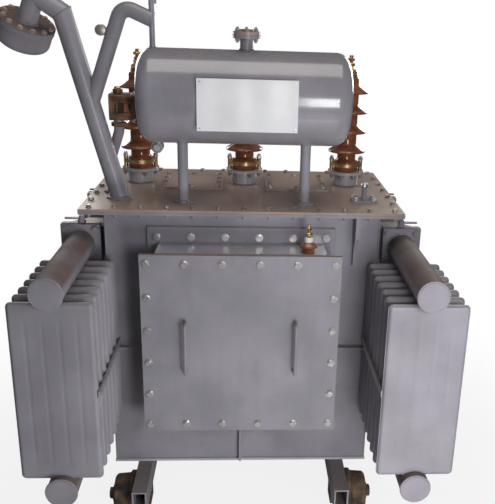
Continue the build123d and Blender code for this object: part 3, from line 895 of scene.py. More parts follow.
class NodeRecipe:
    """A Geometry Nodes tree with named inputs, run once and turned into a plain mesh."""

    def __init__(self, name: str, numbers: Iterable[str]) -> None:
        """Start a tree that takes numbers, a seed and a material.

        Args:
            name: The tree's name.
            numbers: Names of the inputs that are numbers.
        """
        self.tree = bpy.data.node_groups.new(name, "GeometryNodeTree")
        face = self.tree.interface
        face.new_socket("geometry", in_out="INPUT", socket_type="NodeSocketGeometry")
        kinds = {number: "NodeSocketFloat" for number in numbers}
        kinds |= {"seed": "NodeSocketInt", "material": "NodeSocketMaterial"}
        self.keys = {
            label: face.new_socket(label, in_out="INPUT", socket_type=kind).identifier
            for label, kind in kinds.items()
        }
        face.new_socket("geometry", in_out="OUTPUT", socket_type="NodeSocketGeometry")
        self.entry = self.tree.nodes.new("NodeGroupInput").outputs
        self.exit = self.tree.nodes.new("NodeGroupOutput")

    def add(
        self, kind: str, links: dict[str | int, object] | None = None,
        out: int | str = 0, **settings: object,
    ) -> bpy.types.NodeSocket:
        """Add a node, set its options and feed its inputs.

        Args:
            kind: The node's type name.
            links: Inputs by name or index: a socket to link or a value to set.
            out: The output to hand back, by index or name.
            **settings: Node properties.

        Returns:
            The chosen output.
        """
        node = self.tree.nodes.new(kind)
        for key, value in settings.items():
            setattr(node, key, value)
        for key, value in (links or {}).items():
            socket = node.inputs[key]
            if isinstance(value, bpy.types.NodeSocket):
                self.tree.links.new(value, socket)
            else:
                socket.default_value = value
        return node.outputs[out]

    def math(self, operation: str, *items: object) -> bpy.types.NodeSocket:
        """Add a Math node.

        Args:
            operation: What it does.
            *items: Its sockets or numbers, in order.

        Returns:
            Its result.
        """
        return self.add("ShaderNodeMath", dict(enumerate(items)), operation=operation)

    def close(self, geometry: bpy.types.NodeSocket, smooth: bool) -> None:
        """End the tree in Realize Instances, shading and Set Material.

        Args:
            geometry: The geometry to hand out.
            smooth: Whether faces shade smoothly.
        """
        real = self.add("GeometryNodeRealizeInstances", {"Geometry": geometry})
        shade = self.add("GeometryNodeSetShadeSmooth", {"Geometry": real, "Shade Smooth": smooth})
        finish = self.add(
            "GeometryNodeSetMaterial", {"Geometry": shade, "Material": self.entry["material"]}
        )
        self.tree.links.new(finish, self.exit.inputs[0])

    def run(self, name: str, mesh: bpy.types.Mesh, values: dict[str, object]) -> bpy.types.Object:
        """Run the tree on a mesh and keep the result as a plain mesh.

        Args:
            name: The piece's name.
            mesh: The mesh that the tree starts from.
            values: Values of the named inputs.

        Returns:
            The new object.
        """
        piece = added(name, mesh)
        modifier = piece.modifiers.new("recipe", "NODES")
        modifier.node_group = self.tree
        for label, value in values.items():
            modifier[self.keys[label]] = value
        graph = bpy.context.evaluated_depsgraph_get()
        graph.update()
        result = bpy.data.meshes.new_from_object(piece.evaluated_get(graph))
        piece.modifiers.clear()
        piece.data = result
        bpy.data.meshes.remove(mesh)
        return piece


@dataclass(frozen=True)
class Fastener:
    """Sizes of a hexagon fastener in metres."""

    corner: float
    height: float
    washer: float
    washer_height: float = 0.003
    stud: float = 0.0
    stud_radius: float = 0.008


M16_HEAD = Fastener(0.0138, 0.010, 0.016)
M16_NUT = Fastener(0.0138, 0.013, 0.016, stud=0.010)
M12_HEAD = Fastener(0.0106, 0.0078, 0.0125)
M12_NUT = Fastener(0.0106, 0.010, 0.0125, stud=0.009, stud_radius=0.006)
M10_NUT = Fastener(0.0092, 0.008, 0.0105, 0.0022, stud=0.008, stud_radius=0.005)
M4_SCREW = Fastener(0.0036, 0.0026, 0.0036, 0.0005)


class FastenerKit:
    """Hexagon fasteners stood on points, each turned by its own angle."""

    nut_share = 0.86
    crown_share = 0.84
    most_turn = 1.05

    def __init__(self) -> None:
        """Build the tree."""
        self.recipe = kit = NodeRecipe("fasteners", [field.name for field in fields(Fastener)])
        entry = kit.entry
        base, height = entry["washer_height"], entry["height"]
        whole = kit.tree.nodes.new("GeometryNodeJoinGeometry")
        for sides, radius, low, tall in (
            (20, entry["washer"], 0.0, base),
            (6, entry["corner"], base, kit.math("MULTIPLY", height, self.nut_share)),
            (18, kit.math("MULTIPLY", entry["corner"], self.crown_share), base, height),
            (12, entry["stud_radius"], 0.0, kit.math("ADD", height, entry["stud"])),
        ):
            form = {"Vertices": sides, "Radius": radius, "Depth": tall}
            level = kit.math("ADD", kit.math("MULTIPLY", tall, 0.5), low)
            place = kit.add("ShaderNodeCombineXYZ", {"Z": level})
            cylinder = kit.add("GeometryNodeMeshCylinder", form)
            moved = kit.add("GeometryNodeTransform", {"Geometry": cylinder, "Translation": place})
            kit.tree.links.new(moved, whole.inputs[0])
        vector = {"data_type": "FLOAT_VECTOR"}
        aim = kit.add("GeometryNodeInputNamedAttribute", {"Name": "aim"}, **vector)
        stand = kit.add("FunctionNodeAlignRotationToVector", {"Vector": aim}, axis="Z")
        turn = {"Max": (0.0, 0.0, self.most_turn), "Seed": entry["seed"]}
        chance = kit.add("FunctionNodeRandomValue", turn, **vector)
        spin = kit.add(
            "FunctionNodeRotateRotation", {"Rotation": stand, "Rotate By": chance},
            rotation_space="LOCAL",
        )
        spread = kit.add(
            "GeometryNodeInstanceOnPoints",
            {"Points": entry["geometry"], "Instance": whole.outputs[0], "Rotation": spin},
        )
        kit.close(spread, False)

    def place(
        self, name: str, spots: Sequence[Spot], size: Fastener, material: bpy.types.Material
    ) -> bpy.types.Object:
        """Stand fasteners on spots.

        Args:
            name: The piece's name.
            spots: Place and direction of each fastener.
            size: Their sizes.
            material: Their finish.

        Returns:
            The new object.
        """
        mesh = bpy.data.meshes.new(name + "_spots")
        mesh.from_pydata([spot for spot, _ in spots], [], [])
        aims = mesh.attributes.new("aim", "FLOAT_VECTOR", "POINT")
        for item, (_, direction) in zip(aims.data, spots):
            item.vector = direction
        values = {**asdict(size), "seed": len(spots), "material": material}
        return self.recipe.run(name, mesh, values)


class WeldKit:
    """Rippled weld beads along lines."""

    step = 0.004
    pitch = 0.011
    ripple = 0.28
    sides = 7

    def __init__(self) -> None:
        """Build the tree."""
        self.recipe = kit = NodeRecipe("weld_beads", ["radius"])
        line = kit.add("GeometryNodeMeshToCurve", {"Mesh": kit.entry["geometry"]})
        fine = kit.add(
            "GeometryNodeResampleCurve", {"Curve": line, "Length": self.step}, mode="LENGTH"
        )
        along = kit.add("GeometryNodeSplineParameter", out="Length")
        phase = kit.math("MULTIPLY", kit.math("DIVIDE", along, self.pitch), math.tau)
        rough = kit.add("ShaderNodeTexNoise", {"Scale": 60.0, "Detail": 2.0})
        mixed = kit.math("ADD", kit.math("SINE", phase), rough)
        size = kit.math("ADD", kit.math("MULTIPLY", mixed, self.ripple), 0.85)
        circle = kit.add(
            "GeometryNodeCurvePrimitiveCircle",
            {"Resolution": self.sides, "Radius": kit.entry["radius"]},
        )
        bead = kit.add(
            "GeometryNodeCurveToMesh",
            {"Curve": fine, "Profile Curve": circle, "Scale": size, "Fill Caps": True},
        )
        kit.close(bead, True)

    def lay(
        self, name: str, lines: Sequence[Line], radius: float, material: bpy.types.Material
    ) -> bpy.types.Object:
        """Lay beads along lines.

        Args:
            name: The piece's name.
            lines: Each line's points. A line whose ends meet becomes a ring.
            radius: The bead's radius.
            material: Its finish.

        Returns:
            The new object.
        """
        points: list[Point] = []
        edges: list[tuple[int, int]] = []
        for line in lines:
            first = len(points)
            ring = (Vector(line[0]) - Vector(line[-1])).length < TINY
            points.extend(line[:-1] if ring else line)
            edges.extend((index, index + 1) for index in range(first, len(points) - 1))
            if ring:
                edges.append((len(points) - 1, first))
        mesh = bpy.data.meshes.new(name + "_lines")
        mesh.from_pydata(points, edges, [])
        return self.recipe.run(name, mesh, {"radius": radius, "material": material})


@dataclass
class Workshop:
    """What every sub-assembly builds with."""

    palette: Palette
    bolts: FastenerKit
    welds: WeldKit

    def mount(
        self, piece: bpy.types.Object, finish: Finish, body: str = FIXED_BODY,
        replaces: Iterable[str] = (),
    ) -> None:
        """Tie a piece to a body and hide the CAD nodes that it stands for.

        Args:
            piece: The new object.
            finish: Its finish. Not used.
            body: The body that it rides on.
            replaces: CAD nodes that it stands for.
        """
        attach(piece, body)
        for node in replaces:
            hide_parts(node)

    def fasten(
        self, name: str, spots: Sequence[Spot], size: Fastener, finish: Finish = Finish.ZINC
    ) -> None:
        """Place fasteners and mount them."""
        self.mount(self.bolts.place(name, spots, size, self.palette[finish]), finish)

    def weld(self, name: str, lines: Sequence[Line], radius: float) -> None:
        """Lay painted welds and mount them."""
        paint = self.palette[Finish.PAINT]
        self.mount(self.welds.lay(name, lines, radius, paint), Finish.PAINT)

    def solid(
        self, name: str, solid: Solid, finish: Finish, body: str = FIXED_BODY,
        replaces: Iterable[str] = (), smooth: float = 35.0, bevel: float = 0.0,
    ) -> None:
        """Close a solid, finish it and mount it."""
        piece = solid.piece(name, self.palette[finish], smooth, bevel)
        self.mount(piece, finish, body, replaces)


# Sub-assemblies


@dataclass(frozen=True)
class Tank:
    """Cover, rim and walls: bolts, gasket and seams."""

    bolts_long: int = 13
    bolts_short: int = 7
    bolt_x: float = 0.615
    bolt_y: float = 0.376
    side_x: float = 0.628
    gasket_proud: float = 0.0012
    gasket_height: float = 0.0022
    gasket_width: float = 0.004
    wall: float = 0.028
    belt_levels: Pair = (0.784, 0.796)
    belt_gap: Pair = (-0.392, 0.376)
    rib_sides: Pair = (-0.014, -0.002)
    rib_top: float = 0.484
    lug_sides: Pair = (0.454, 0.470)
    lug_levels: Pair = (1.17, 1.384)

    def build(self, shop: Workshop) -> None:
        """Add the tank's details.

        Args:
            shop: What it builds with.
        """
        low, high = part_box("cover")
        rim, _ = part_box("tank_rim")
        xs = spaced(-self.bolt_x, self.bolt_x, self.bolts_long)
        ys = spaced(-self.bolt_y, self.bolt_y, self.bolts_short)[1:-1]
        places = [(x, side * self.bolt_y) for side in SIDES for x in xs]
        places += [(side * self.side_x, y) for side in SIDES for y in ys]
        heads = [((x, y, high.z), UP) for x, y in places]
        nuts = [((x, y, rim.z), DOWN) for x, y in places]
        shop.fasten("cover_bolt_heads", heads, M12_HEAD, Finish.DULL)
        shop.fasten("cover_bolt_nuts", nuts, M12_NUT, Finish.PAINT)
        self.gasket(shop, low, high)
        self.seams(shop)

    def gasket(self, shop: Workshop, low: Vector, high: Vector) -> None:
        """Add the gasket's edge, which shows between the cover and the rim."""
        near, far = low.y - self.gasket_proud, high.y + self.gasket_proud
        left, right = low.x - self.gasket_proud, high.x + self.gasket_proud
        solid = Solid()
        for x, y, across, length in (
            (left, near, RIGHT, right - left), (right, near, BACK, far - near),
            (right, far, LEFT, right - left), (left, far, FRONT, far - near),
        ):
            outline = rectangle((0.0, 0.0), (length, self.gasket_height))
            origin = (x, y, low.z - self.gasket_height / 2)
            solid.prism(outline, origin, -self.gasket_width, across)
        shop.solid("cover_gasket", solid, Finish.CORK)

    def seams(self, shop: Workshop) -> None:
        """Add the seams of the walls, the stiffener belt, its rib and the lugs."""
        low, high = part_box("tank_wall_front")
        near, far = low.y + self.wall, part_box("tank_wall_back")[1].y - self.wall
        ends = (low.x, high.x)
        lines = [
            [(x, y, low.z + 0.002), (x, y, high.z - 0.002)] for x in ends for y in (near, far)
        ]
        for level in (low.z, high.z):
            lines.append(box_line((low.x, near), (high.x, far), lambda a, b, c=level: (a, b, c)))
        shop.weld("tank_seams", lines, 0.004)
        belt = []
        for level in self.belt_levels:
            for left, right, y in (
                (low.x, self.belt_gap[0], near), (self.belt_gap[1], high.x, near),
                (low.x, high.x, far),
            ):
                belt.append([(left, y, level), (right, y, level)])
            belt += [[(x, near, level), (x, far, level)] for x in ends]
        belt += [[(x, near, low.z), (x, near, self.rib_top)] for x in self.rib_sides]
        shop.weld("belt_seams", belt, 0.0032)
        lugs = [
            [(turn * x, turn * near, level) for level in self.lug_levels]
            for turn in (1, -1) for x in self.lug_sides
        ]
        shop.weld("lug_seams", lugs, 0.0045)


@dataclass(frozen=True)
class CableBox:
    """The bolted cable box on the front wall, and the neutral terminal on it."""

    bolts: int = 6
    foot_bolts: int = 5
    rib_x: float = -0.008
    rib_clear: float = 0.05
    gasket: float = 0.003
    gasket_proud: float = 0.0012
    lip: float = 0.045
    lip_width: float = 0.010
    lip_back: float = 0.012
    lip_depth: float = 0.011
    step: float = 0.001

    def build(self, shop: Workshop) -> None:
        """Add the cable box's details.

        Args:
            shop: What it builds with.
        """
        low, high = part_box("cable_box_flange")
        spots = [(x, high.z - 0.040) for x in spaced(low.x + 0.038, high.x - 0.034, self.bolts)]
        levels = spaced(low.z + 0.05, high.z - 0.165, self.bolts)
        spots += [(x, z) for x in (low.x + 0.022, high.x - 0.022) for z in levels]
        foot = spaced(low.x + 0.12, high.x - 0.12, self.foot_bolts)
        spots += [(x, low.z + 0.022) for x in foot if abs(x - self.rib_x) > self.rib_clear]
        self.bolt(shop, "wall_flange_bolts", spots, low.y)
        outer = box_line(
            (low.x, low.z), (high.x, high.z), lambda a, b: (a, high.y - self.step, b)
        )
        wall = low.y
        low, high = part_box("cable_box_cover")
        xs = spaced(low.x + 0.026, high.x - 0.026, self.bolts)
        levels = spaced(low.z + 0.033, high.z - 0.036, self.bolts)
        spots = [(x, z) for z in (levels[0], levels[-1]) for x in xs]
        spots += [(x, z) for x in (xs[0], xs[-1]) for z in levels[1:-1]]
        self.bolt(shop, "front_plate_bolts", spots, low.y)
        body_low, body_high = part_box("cable_box_body")
        corners = (body_low.x, body_low.z), (body_high.x, body_high.z)
        mouth_y = high.y + self.gasket
        self.mouth(shop, low, high, *corners, mouth_y)
        seam = box_line(*corners, lambda a, b: (a, wall, b))
        mouth = box_line(*corners, lambda a, b: (a, mouth_y + 0.0135, b))
        shop.weld("box_seams", [seam, mouth, outer], 0.004)
        feet = []
        for side in ("left", "right"):
            grip_low, grip_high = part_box(f"cable_box_handle_{side}")
            x, _ = halfway(grip_low, grip_high)
            for z in (grip_low.z + 0.007, grip_high.z - 0.007):
                feet.append(circle_line((x, low.y - self.step, z), FRONT, 0.0085, 20))
        shop.weld("handle_welds", feet, 0.0028)
        self.neutral(shop)

    def bolt(self, shop: Workshop, name: str, spots: Sequence[Pair], y: float) -> None:
        """Bolt a flange whose front lies at y."""
        shop.fasten(name, [((x, y, z), FRONT) for x, z in spots], M16_HEAD)

    def mouth(
        self, shop: Workshop, plate_low: Vector, plate_high: Vector,
        low: Pair, high: Pair, y: float,
    ) -> None:
        """Add the plate's gasket and, behind it, the flange round the box's mouth."""
        grow, step = self.gasket_proud, self.step
        rim = rectangle(
            (plate_low.x - grow, plate_low.z - grow), (plate_high.x + grow, plate_high.z + grow)
        )
        gasket = Solid().prism(rim, (0.0, y, 0.0), self.gasket)
        shop.solid("front_plate_gasket", gasket, Finish.CORK)
        left, right = low[0] - self.lip, high[0] + self.lip
        lip = Solid()
        for bar in (
            ((left, high[1] - self.lip_width), (right, high[1] - step)),
            ((left, low[1] + step), (right, low[1] + self.lip_width)),
            ((left, low[1]), (low[0] - step, high[1] - step)),
            ((high[0] + step, low[1]), (right, high[1] - step)),
        ):
            lip.prism(rectangle(*bar), (0.0, y + self.lip_back, 0.0), self.lip_depth)
        shop.solid("box_mouth_flange", lip, Finish.PAINT, bevel=0.0008)

    def neutral(self, shop: Workshop) -> None:
        """Add the neutral bushing's glazed shed, collar, nuts and threaded stud."""
        low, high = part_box("neutral_bushing")
        x, y = halfway(low, high)
        shed = [
            (0.0, 0.0), (0.025, 0.0), (0.025, 0.017), (0.0265, 0.020), (0.034, 0.0215),
            (0.036, 0.0245), (0.0355, 0.028), (0.031, 0.032), (0.024, 0.037), (0.0195, 0.041),
            (0.018, 0.044), (0.0, 0.044),
        ]
        collar = [
            (0.0, 0.044), (0.0175, 0.044), (0.018, 0.047), (0.018, 0.060), (0.0165, 0.064),
            (0.0, 0.064),
        ]
        glazed = Solid().lathe(shed, (x, y, low.z), steps=56)
        shop.solid(
            "neutral_porcelain", glazed, Finish.GLAZE, replaces=["neutral_bushing"], smooth=50
        )
        white = Solid().lathe(collar, (x, y, low.z), steps=40)
        shop.solid("neutral_collar", white, Finish.COLLAR)
        brass = Solid().lathe(thread(0.007, 0.052), (x, y, low.z + 0.061), steps=20)
        for rise, radius, height, turn in (
            (0.0645, 0.0138, 0.008, 0.2), (0.0732, 0.0138, 0.008, 0.9),
            (0.0935, 0.0125, 0.007, 0.5),
        ):
            brass.hexagon((x, y, low.z + rise), UP, radius, height, turn)
        shop.solid("neutral_nuts", brass, Finish.BRASS, replaces=["neutral_terminal"])


@dataclass(frozen=True)
class Radiators:
    """Pressed panels with rolled edges, header seams, flange bolts, gaskets and glands."""

    panels: int = 7
    pitch: float = 0.0765
    half_width: float = 0.150
    half_thickness: float = 0.013
    seam_width: float = 0.003
    seam_half: float = 0.0025
    side_roll: float = 0.013
    end_roll: float = 0.020
    corner: float = 0.018
    grooves: int = 4
    groove_half: float = 0.010
    groove_depth: float = 0.0014
    groove_end: float = 0.062
    groove_fade: float = 0.03
    columns: int = 66
    rows: int = 44
    header_inset: float = 0.080
    header_radius: float = 0.0575
    face_seam: float = 0.0045
    face_limit: float = 0.4
    flange: float = 0.024
    bolt_reach: float = 0.062
    gasket_half: float = 0.0808
    gasket_depth: float = 0.0024
    lever_x: float = 0.668
    lever_y: float = 0.264
    gland_level: float = 1.3135

    def swell(self, across: float, along: float, half_length: float) -> float:
        """Return the panel's half thickness at a point.

        Args:
            across: Distance from its middle line.
            along: Distance from its middle height.
            half_length: Half its height.

        Returns:
            The half thickness.
        """
        side = self.half_width - self.inset(along, half_length) - abs(across)
        end = half_length - abs(along)
        full = 1.0
        for room, roll in ((side, self.side_roll), (end, self.end_roll)):
            full *= math.sqrt(1 - (1 - clamped((room - self.seam_width) / roll)) ** 2)
        pitch = 2 * self.half_width / (self.grooves + 1)
        cut = 0.0
        for index in range(1, self.grooves + 1):
            away = abs(across + self.half_width - index * pitch)
            near = clamped(1 - away / self.groove_half)
            cut = max(cut, near * near * (3 - 2 * near))
        fade = clamped((end - self.groove_end) / self.groove_fade)
        rise = (self.half_thickness - self.seam_half) * full
        return self.seam_half + rise - self.groove_depth * cut * fade

    def inset(self, along: float, half_length: float) -> float:
        """Return how far the panel's side lies in from its full width, near a rounded corner.

        Args:
            along: Distance from its middle height.
            half_length: Half its height.

        Returns:
            The distance.
        """
        past = min(self.corner, max(0.0, abs(along) - half_length + self.corner))
        return self.corner - math.sqrt(self.corner**2 - past**2)

    def panel(self, solid: Solid, x: float, y: float, low: float, high: float) -> None:
        """Add one panel: two pressed sheets that meet at a seam.

        Args:
            solid: The mesh that it goes into.
            x: Its middle.
            y: Its middle plane.
            low: Its lower end.
            high: Its upper end.
        """
        middle, half = (low + high) / 2, (high - low) / 2
        columns = refined(self.half_width, self.columns, self.side_roll + self.seam_width)
        grid = []
        for along in refined(half, self.rows, self.end_roll + self.seam_width):
            share = 1 - self.inset(along, half) / self.half_width
            row = [(share * a, self.swell(share * a, along, half)) for a in columns]
            front = [(x + a, y - thick, middle + along) for a, thick in row]
            rear = [(x + a, y + thick, middle + along) for a, thick in reversed(row)]
            grid.append(front + rear)
        solid.sheet(grid, closed=True)
        for row in (grid[0], grid[-1]):
            solid.sheet([row[: len(columns)], row[len(columns) :][::-1]])

    def build(self, shop: Workshop) -> None:
        """Add the radiators' details.

        Args:
            shop: What it builds with.
        """
        bolts, nuts = [], []
        for corner, (_, end) in CORNERS.items():
            node = f"radiator_{corner}_panels"
            low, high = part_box(node)
            tubes_low, tubes_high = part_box(f"radiator_{corner}_headers")
            outer, tip, root = (
                (low.y, tubes_low.y, tubes_high.y) if end < 0 else (high.y, tubes_high.y, tubes_low.y)
            )
            x, _ = halfway(low, high)
            middles = [
                outer - end * (self.half_thickness + index * self.pitch)
                for index in range(self.panels)
            ]
            solid = Solid()
            for y in middles:
                self.panel(solid, x, y, low.z, high.z)
            shop.solid(f"pressed_panels_{corner}", solid, Finish.PAINT, replaces=[node], smooth=40)
            levels = (tubes_high.z - self.header_inset, tubes_low.z + self.header_inset)
            lines = []
            for level, edge, up in zip(levels, (high.z, low.z), (1, -1)):
                for y in middles:
                    for face in (y - self.face_seam, y + self.face_seam):
                        lines.append(self.saddle(x, face, level, edge, up))
                lines.append(circle_line((x, tip - end * 0.004, level), BACK, 0.0565, 64))
            head, tail = root + end * self.flange, root - end * self.flange
            for level in levels:
                lines.append(circle_line((x, head, level), BACK, self.header_radius, 56))
                for a, b in four(self.bolt_reach, self.bolt_reach):
                    bolts.append(((x + a, head, level + b), (0.0, end, 0.0)))
                    nuts.append(((x + a, tail, level + b), (0.0, -end, 0.0)))
            shop.weld(f"header_seams_{corner}", lines, 0.0042)
        shop.fasten("header_flange_bolts", bolts, M16_HEAD, Finish.PAINT)
        shop.fasten("header_flange_nuts", nuts, M16_NUT, Finish.PAINT)
        self.gaskets(shop)

    def saddle(self, x: float, y: float, level: float, edge: float, up: int) -> list[Point]:
        """Return the seam where a panel's face meets a header.

        Args:
            x: The header's middle.
            y: The panel's face.
            level: The header's height.
            edge: Height of the panel's end.
            up: 1 for an upper header, whose seam runs round its underside.

        Returns:
            Points on the arc.
        """
        radius, drop = self.header_radius, abs(edge - level)
        limit = math.acos(drop / radius) if drop < radius else self.face_limit
        return [
            (x + radius * math.sin(angle), y, level - up * radius * math.cos(angle))
            for angle in spaced(-limit, limit, 17)
        ]

    def gaskets(self, shop: Workshop) -> None:
        """Add the gaskets between the flanges, and the valves' glands and lever screws."""
        gasket, gland = Solid(), Solid()
        half = self.gasket_half
        for corner, (side, end) in CORNERS.items():
            low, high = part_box(f"radiator_{corner}_headers")
            x, face = side * self.lever_x, high.y if end < 0 else low.y
            for level in (high.z - self.header_inset, low.z + self.header_inset):
                outline = rectangle((x - half, level - half), (x + half, level + half))
                origin = (0.0, face + self.gasket_depth / 2, 0.0)
                gasket.prism(outline, origin, self.gasket_depth)
            gland.hexagon((x, end * self.lever_y, self.gland_level), UP, 0.0175, 0.0095, 0.3)
        shop.solid("flange_gaskets", gasket, Finish.CORK)
        shop.solid("valve_glands", gland, Finish.PAINT)
        for corner, (side, end) in CORNERS.items():
            lever = f"valve_lever_{corner}"
            spot = (side * self.lever_x, end * self.lever_y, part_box(lever)[1].z)
            screw = Solid().hexagon(spot, UP, 0.0085, 0.006, 0.4)
            shop.solid(f"lever_screw_{corner}", screw, Finish.ZINC, body=lever)


@dataclass(frozen=True)
class Conservator:
    """The oil conservator with its bare sign, seams, filler cap and small fittings."""

    sign_x: Pair = (-0.180, 0.200)
    sign_z: Pair = (1.727, 1.921)
    sign_gap: float = 0.003
    sign_thickness: float = 0.0018
    sign_bow: float = 0.006
    sign_ripple: float = 0.0012
    screw_inset: float = 0.012
    seam_angle: float = 40.0
    post_inset: float = 0.034
    drain_x: float = -0.348
    drain_z: float = 1.635
    drain_length: float = 0.052
    neck_x: float = 0.004
    cap_bolts: int = 6
    cap_bolt_circle: float = 0.041

    def build(self, shop: Workshop) -> None:
        """Add the conservator's details.

        Args:
            shop: What it builds with.
        """
        low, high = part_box("conservator_shell")
        _, y = halfway(low, high)
        z, radius = (low.z + high.z) / 2, (high.z - low.z) / 2
        angle = math.radians(self.seam_angle)
        rear, under = y + radius * math.sin(angle), z - radius * math.cos(angle)
        seam = [(low.x, rear, under), (high.x, rear, under)]
        shop.weld("conservator_seam", [seam], 0.0032)
        self.sign(shop, y, z, radius)
        low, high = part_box("conservator_posts")
        welds = []
        for x in (low.x + self.post_inset, high.x - self.post_inset):
            welds += foot_lines(x, y, low.z)
            welds.append(wrapped(x, y, z, radius, 0.0215))
        welds.append(wrapped(self.drain_x, y, z, radius, 0.0145))
        welds.append(wrapped(self.neck_x, y, z, radius, 0.0265, 1))
        shop.weld("post_welds", welds, 0.004)
        self.cap(shop)
        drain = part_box("conservator_drain")[0].y
        plugs = Solid()
        for place, way in ((drain, FRONT), (drain + self.drain_length, BACK)):
            plugs.hexagon((self.drain_x, place, self.drain_z), way, 0.0165, 0.011, 0.3)
        shop.solid("drain_plugs", plugs, Finish.ZINC)

    def cap(self, shop: Workshop) -> None:
        """Add the filler cap's nuts and gasket."""
        low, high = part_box("filler_cap")
        x, y = halfway(low, high)
        circle = around(self.cap_bolts, self.cap_bolt_circle, 0.5)
        over = [((x + a, y + b, high.z - 0.008), UP) for a, b in circle]
        under = [((x + a, y + b, low.z - 0.012), DOWN) for a, b in circle]
        shop.fasten("filler_cap_bolts", over, M10_NUT, Finish.TOP_PAINT)
        shop.fasten("filler_cap_nuts", under, M10_NUT, Finish.PAINT)
        gasket = Solid().lathe(rod(0.0545, -0.0012, 0.0012), (x, y, low.z), steps=56)
        shop.solid("filler_gasket", gasket, Finish.CORK)

    def sign(self, shop: Workshop, y: float, z: float, radius: float) -> None:
        """Add the bare white plate, curved a little, and its screws and spacers.

        Args:
            shop: What it builds with.
            y: The drum's axis.
            z: The drum's axis.
            radius: The drum's radius.
        """
        (left, right), (base, top) = self.sign_x, self.sign_z
        face, thick, inset = y - radius - self.sign_gap, self.sign_thickness, self.screw_inset

        def dish(a: float, b: float) -> float:
            """Return how far a point of the plate lies back from its middle."""
            across = (2 * a - left - right) / (right - left)
            up = (2 * b - base - top) / (top - base)
            return self.sign_bow * up**2 + self.sign_ripple * math.sin(9 * across + 0.6)

        columns, rows = spaced(left, right, 25), spaced(base, top, 15)
        front = [[(a, face - thick + dish(a, b), b) for a in columns] for b in rows]
        rear = [[(a, face + dish(a, b), b) for a in columns] for b in rows]
        plate = Solid().sheet(front).sheet(rear)
        for end in (0, -1):
            plate.sheet([front[end], rear[end]])
            plate.sheet([[row[end] for row in front], [row[end] for row in rear]])
        shop.solid("sign_plate", plate, Finish.SIGN, smooth=30)
        screws, spacers = Solid(), Solid()
        head = [(0.0, 0.0022), (0.0028, 0.0018), (0.0042, 0.0), (0.0, 0.0)]
        for a in (left + inset, right - inset):
            for b in (base + inset, top - inset):
                back = face + dish(a, b)
                shell = y - math.sqrt(radius**2 - (b - z) ** 2)
                screws.lathe(head, (a, back - thick, b), FRONT, 20)
                spacers.lathe(rod(0.006, 0.0, shell - back + 0.004), (a, back, b), BACK, 20)
        shop.solid("sign_screws", screws, Finish.ZINC)
        shop.solid("sign_spacers", spacers, Finish.PAINT)


@dataclass(frozen=True)
class Vent:
    """Explosion vent, equalising pipe and breather: seams and the drum's bolts."""

    foot: Point = (-0.516, -0.202, 1.407)
    elbow: Point = (-0.706, -0.202, 2.130)
    crest: Point = (-0.806, -0.199, 2.196)
    mouth: Point = (-0.850, -0.165, 2.097)
    radius: float = 0.0385
    foot_radius: float = 0.056
    drum_radius: float = 0.1065
    drum_bolts: int = 12
    bolt_circle: float = 0.092
    plug: Point = (-0.5548, -0.2566, 2.0733)
    plug_radius: float = 0.0205
    breather: Point = (-0.357, -0.270, 1.835)
    breather_radius: float = 0.0115
    shell_radius: float = 0.182

    def build(self, shop: Workshop) -> None:
        """Add the vent's details.

        Args:
            shop: What it builds with.
        """
        places = (self.foot, self.elbow, self.crest, self.mouth)
        foot, elbow, crest, mouth = (Vector(place) for place in places)
        rise, lean = (elbow - foot).normalized(), (crest - elbow).normalized()
        axis, up = (mouth - crest).normalized(), Vector(UP)
        lines = [
            cut_line(elbow, rise, rise + lean, self.radius + 0.0003),
            cut_line(crest, lean, lean + axis, self.radius + 0.0003),
            circle_line(foot + up * 0.001, UP, self.foot_radius, 48),
            cut_line(foot + up * 0.008, rise, up, self.radius + 0.001),
        ]
        shop.weld("vent_seams", lines, 0.002)
        side = axis.orthogonal().normalized()
        other = axis.cross(side)
        spots = [
            (tuple(mouth + side * a + other * b), tuple(-axis))
            for a, b in around(self.drum_bolts, self.bolt_circle, 0.5)
        ]
        shop.fasten("drum_bolts", spots, M12_HEAD, Finish.TOP_PAINT)
        ring = circle_line(mouth - axis * 0.001, axis, self.radius + 0.002, 40)
        joint = circle_line(mouth + axis * 0.0205, axis, self.drum_radius, 72)
        shop.weld("drum_seams", [ring, joint], 0.0035)
        pipe = wrapped(*self.breather, self.shell_radius, self.breather_radius, 1)
        shop.weld("breather_weld", [pipe], 0.003)
        reach = self.plug_radius
        face = [
            (0.0, -0.001), (reach, -0.001), (reach, 0.0015), (reach - 0.003, 0.0035),
            (0.0, 0.0035),
        ]
        plug = Solid().lathe(face, self.plug, FRONT, 40)
        shop.solid("side_plug_face", plug, Finish.DULL)


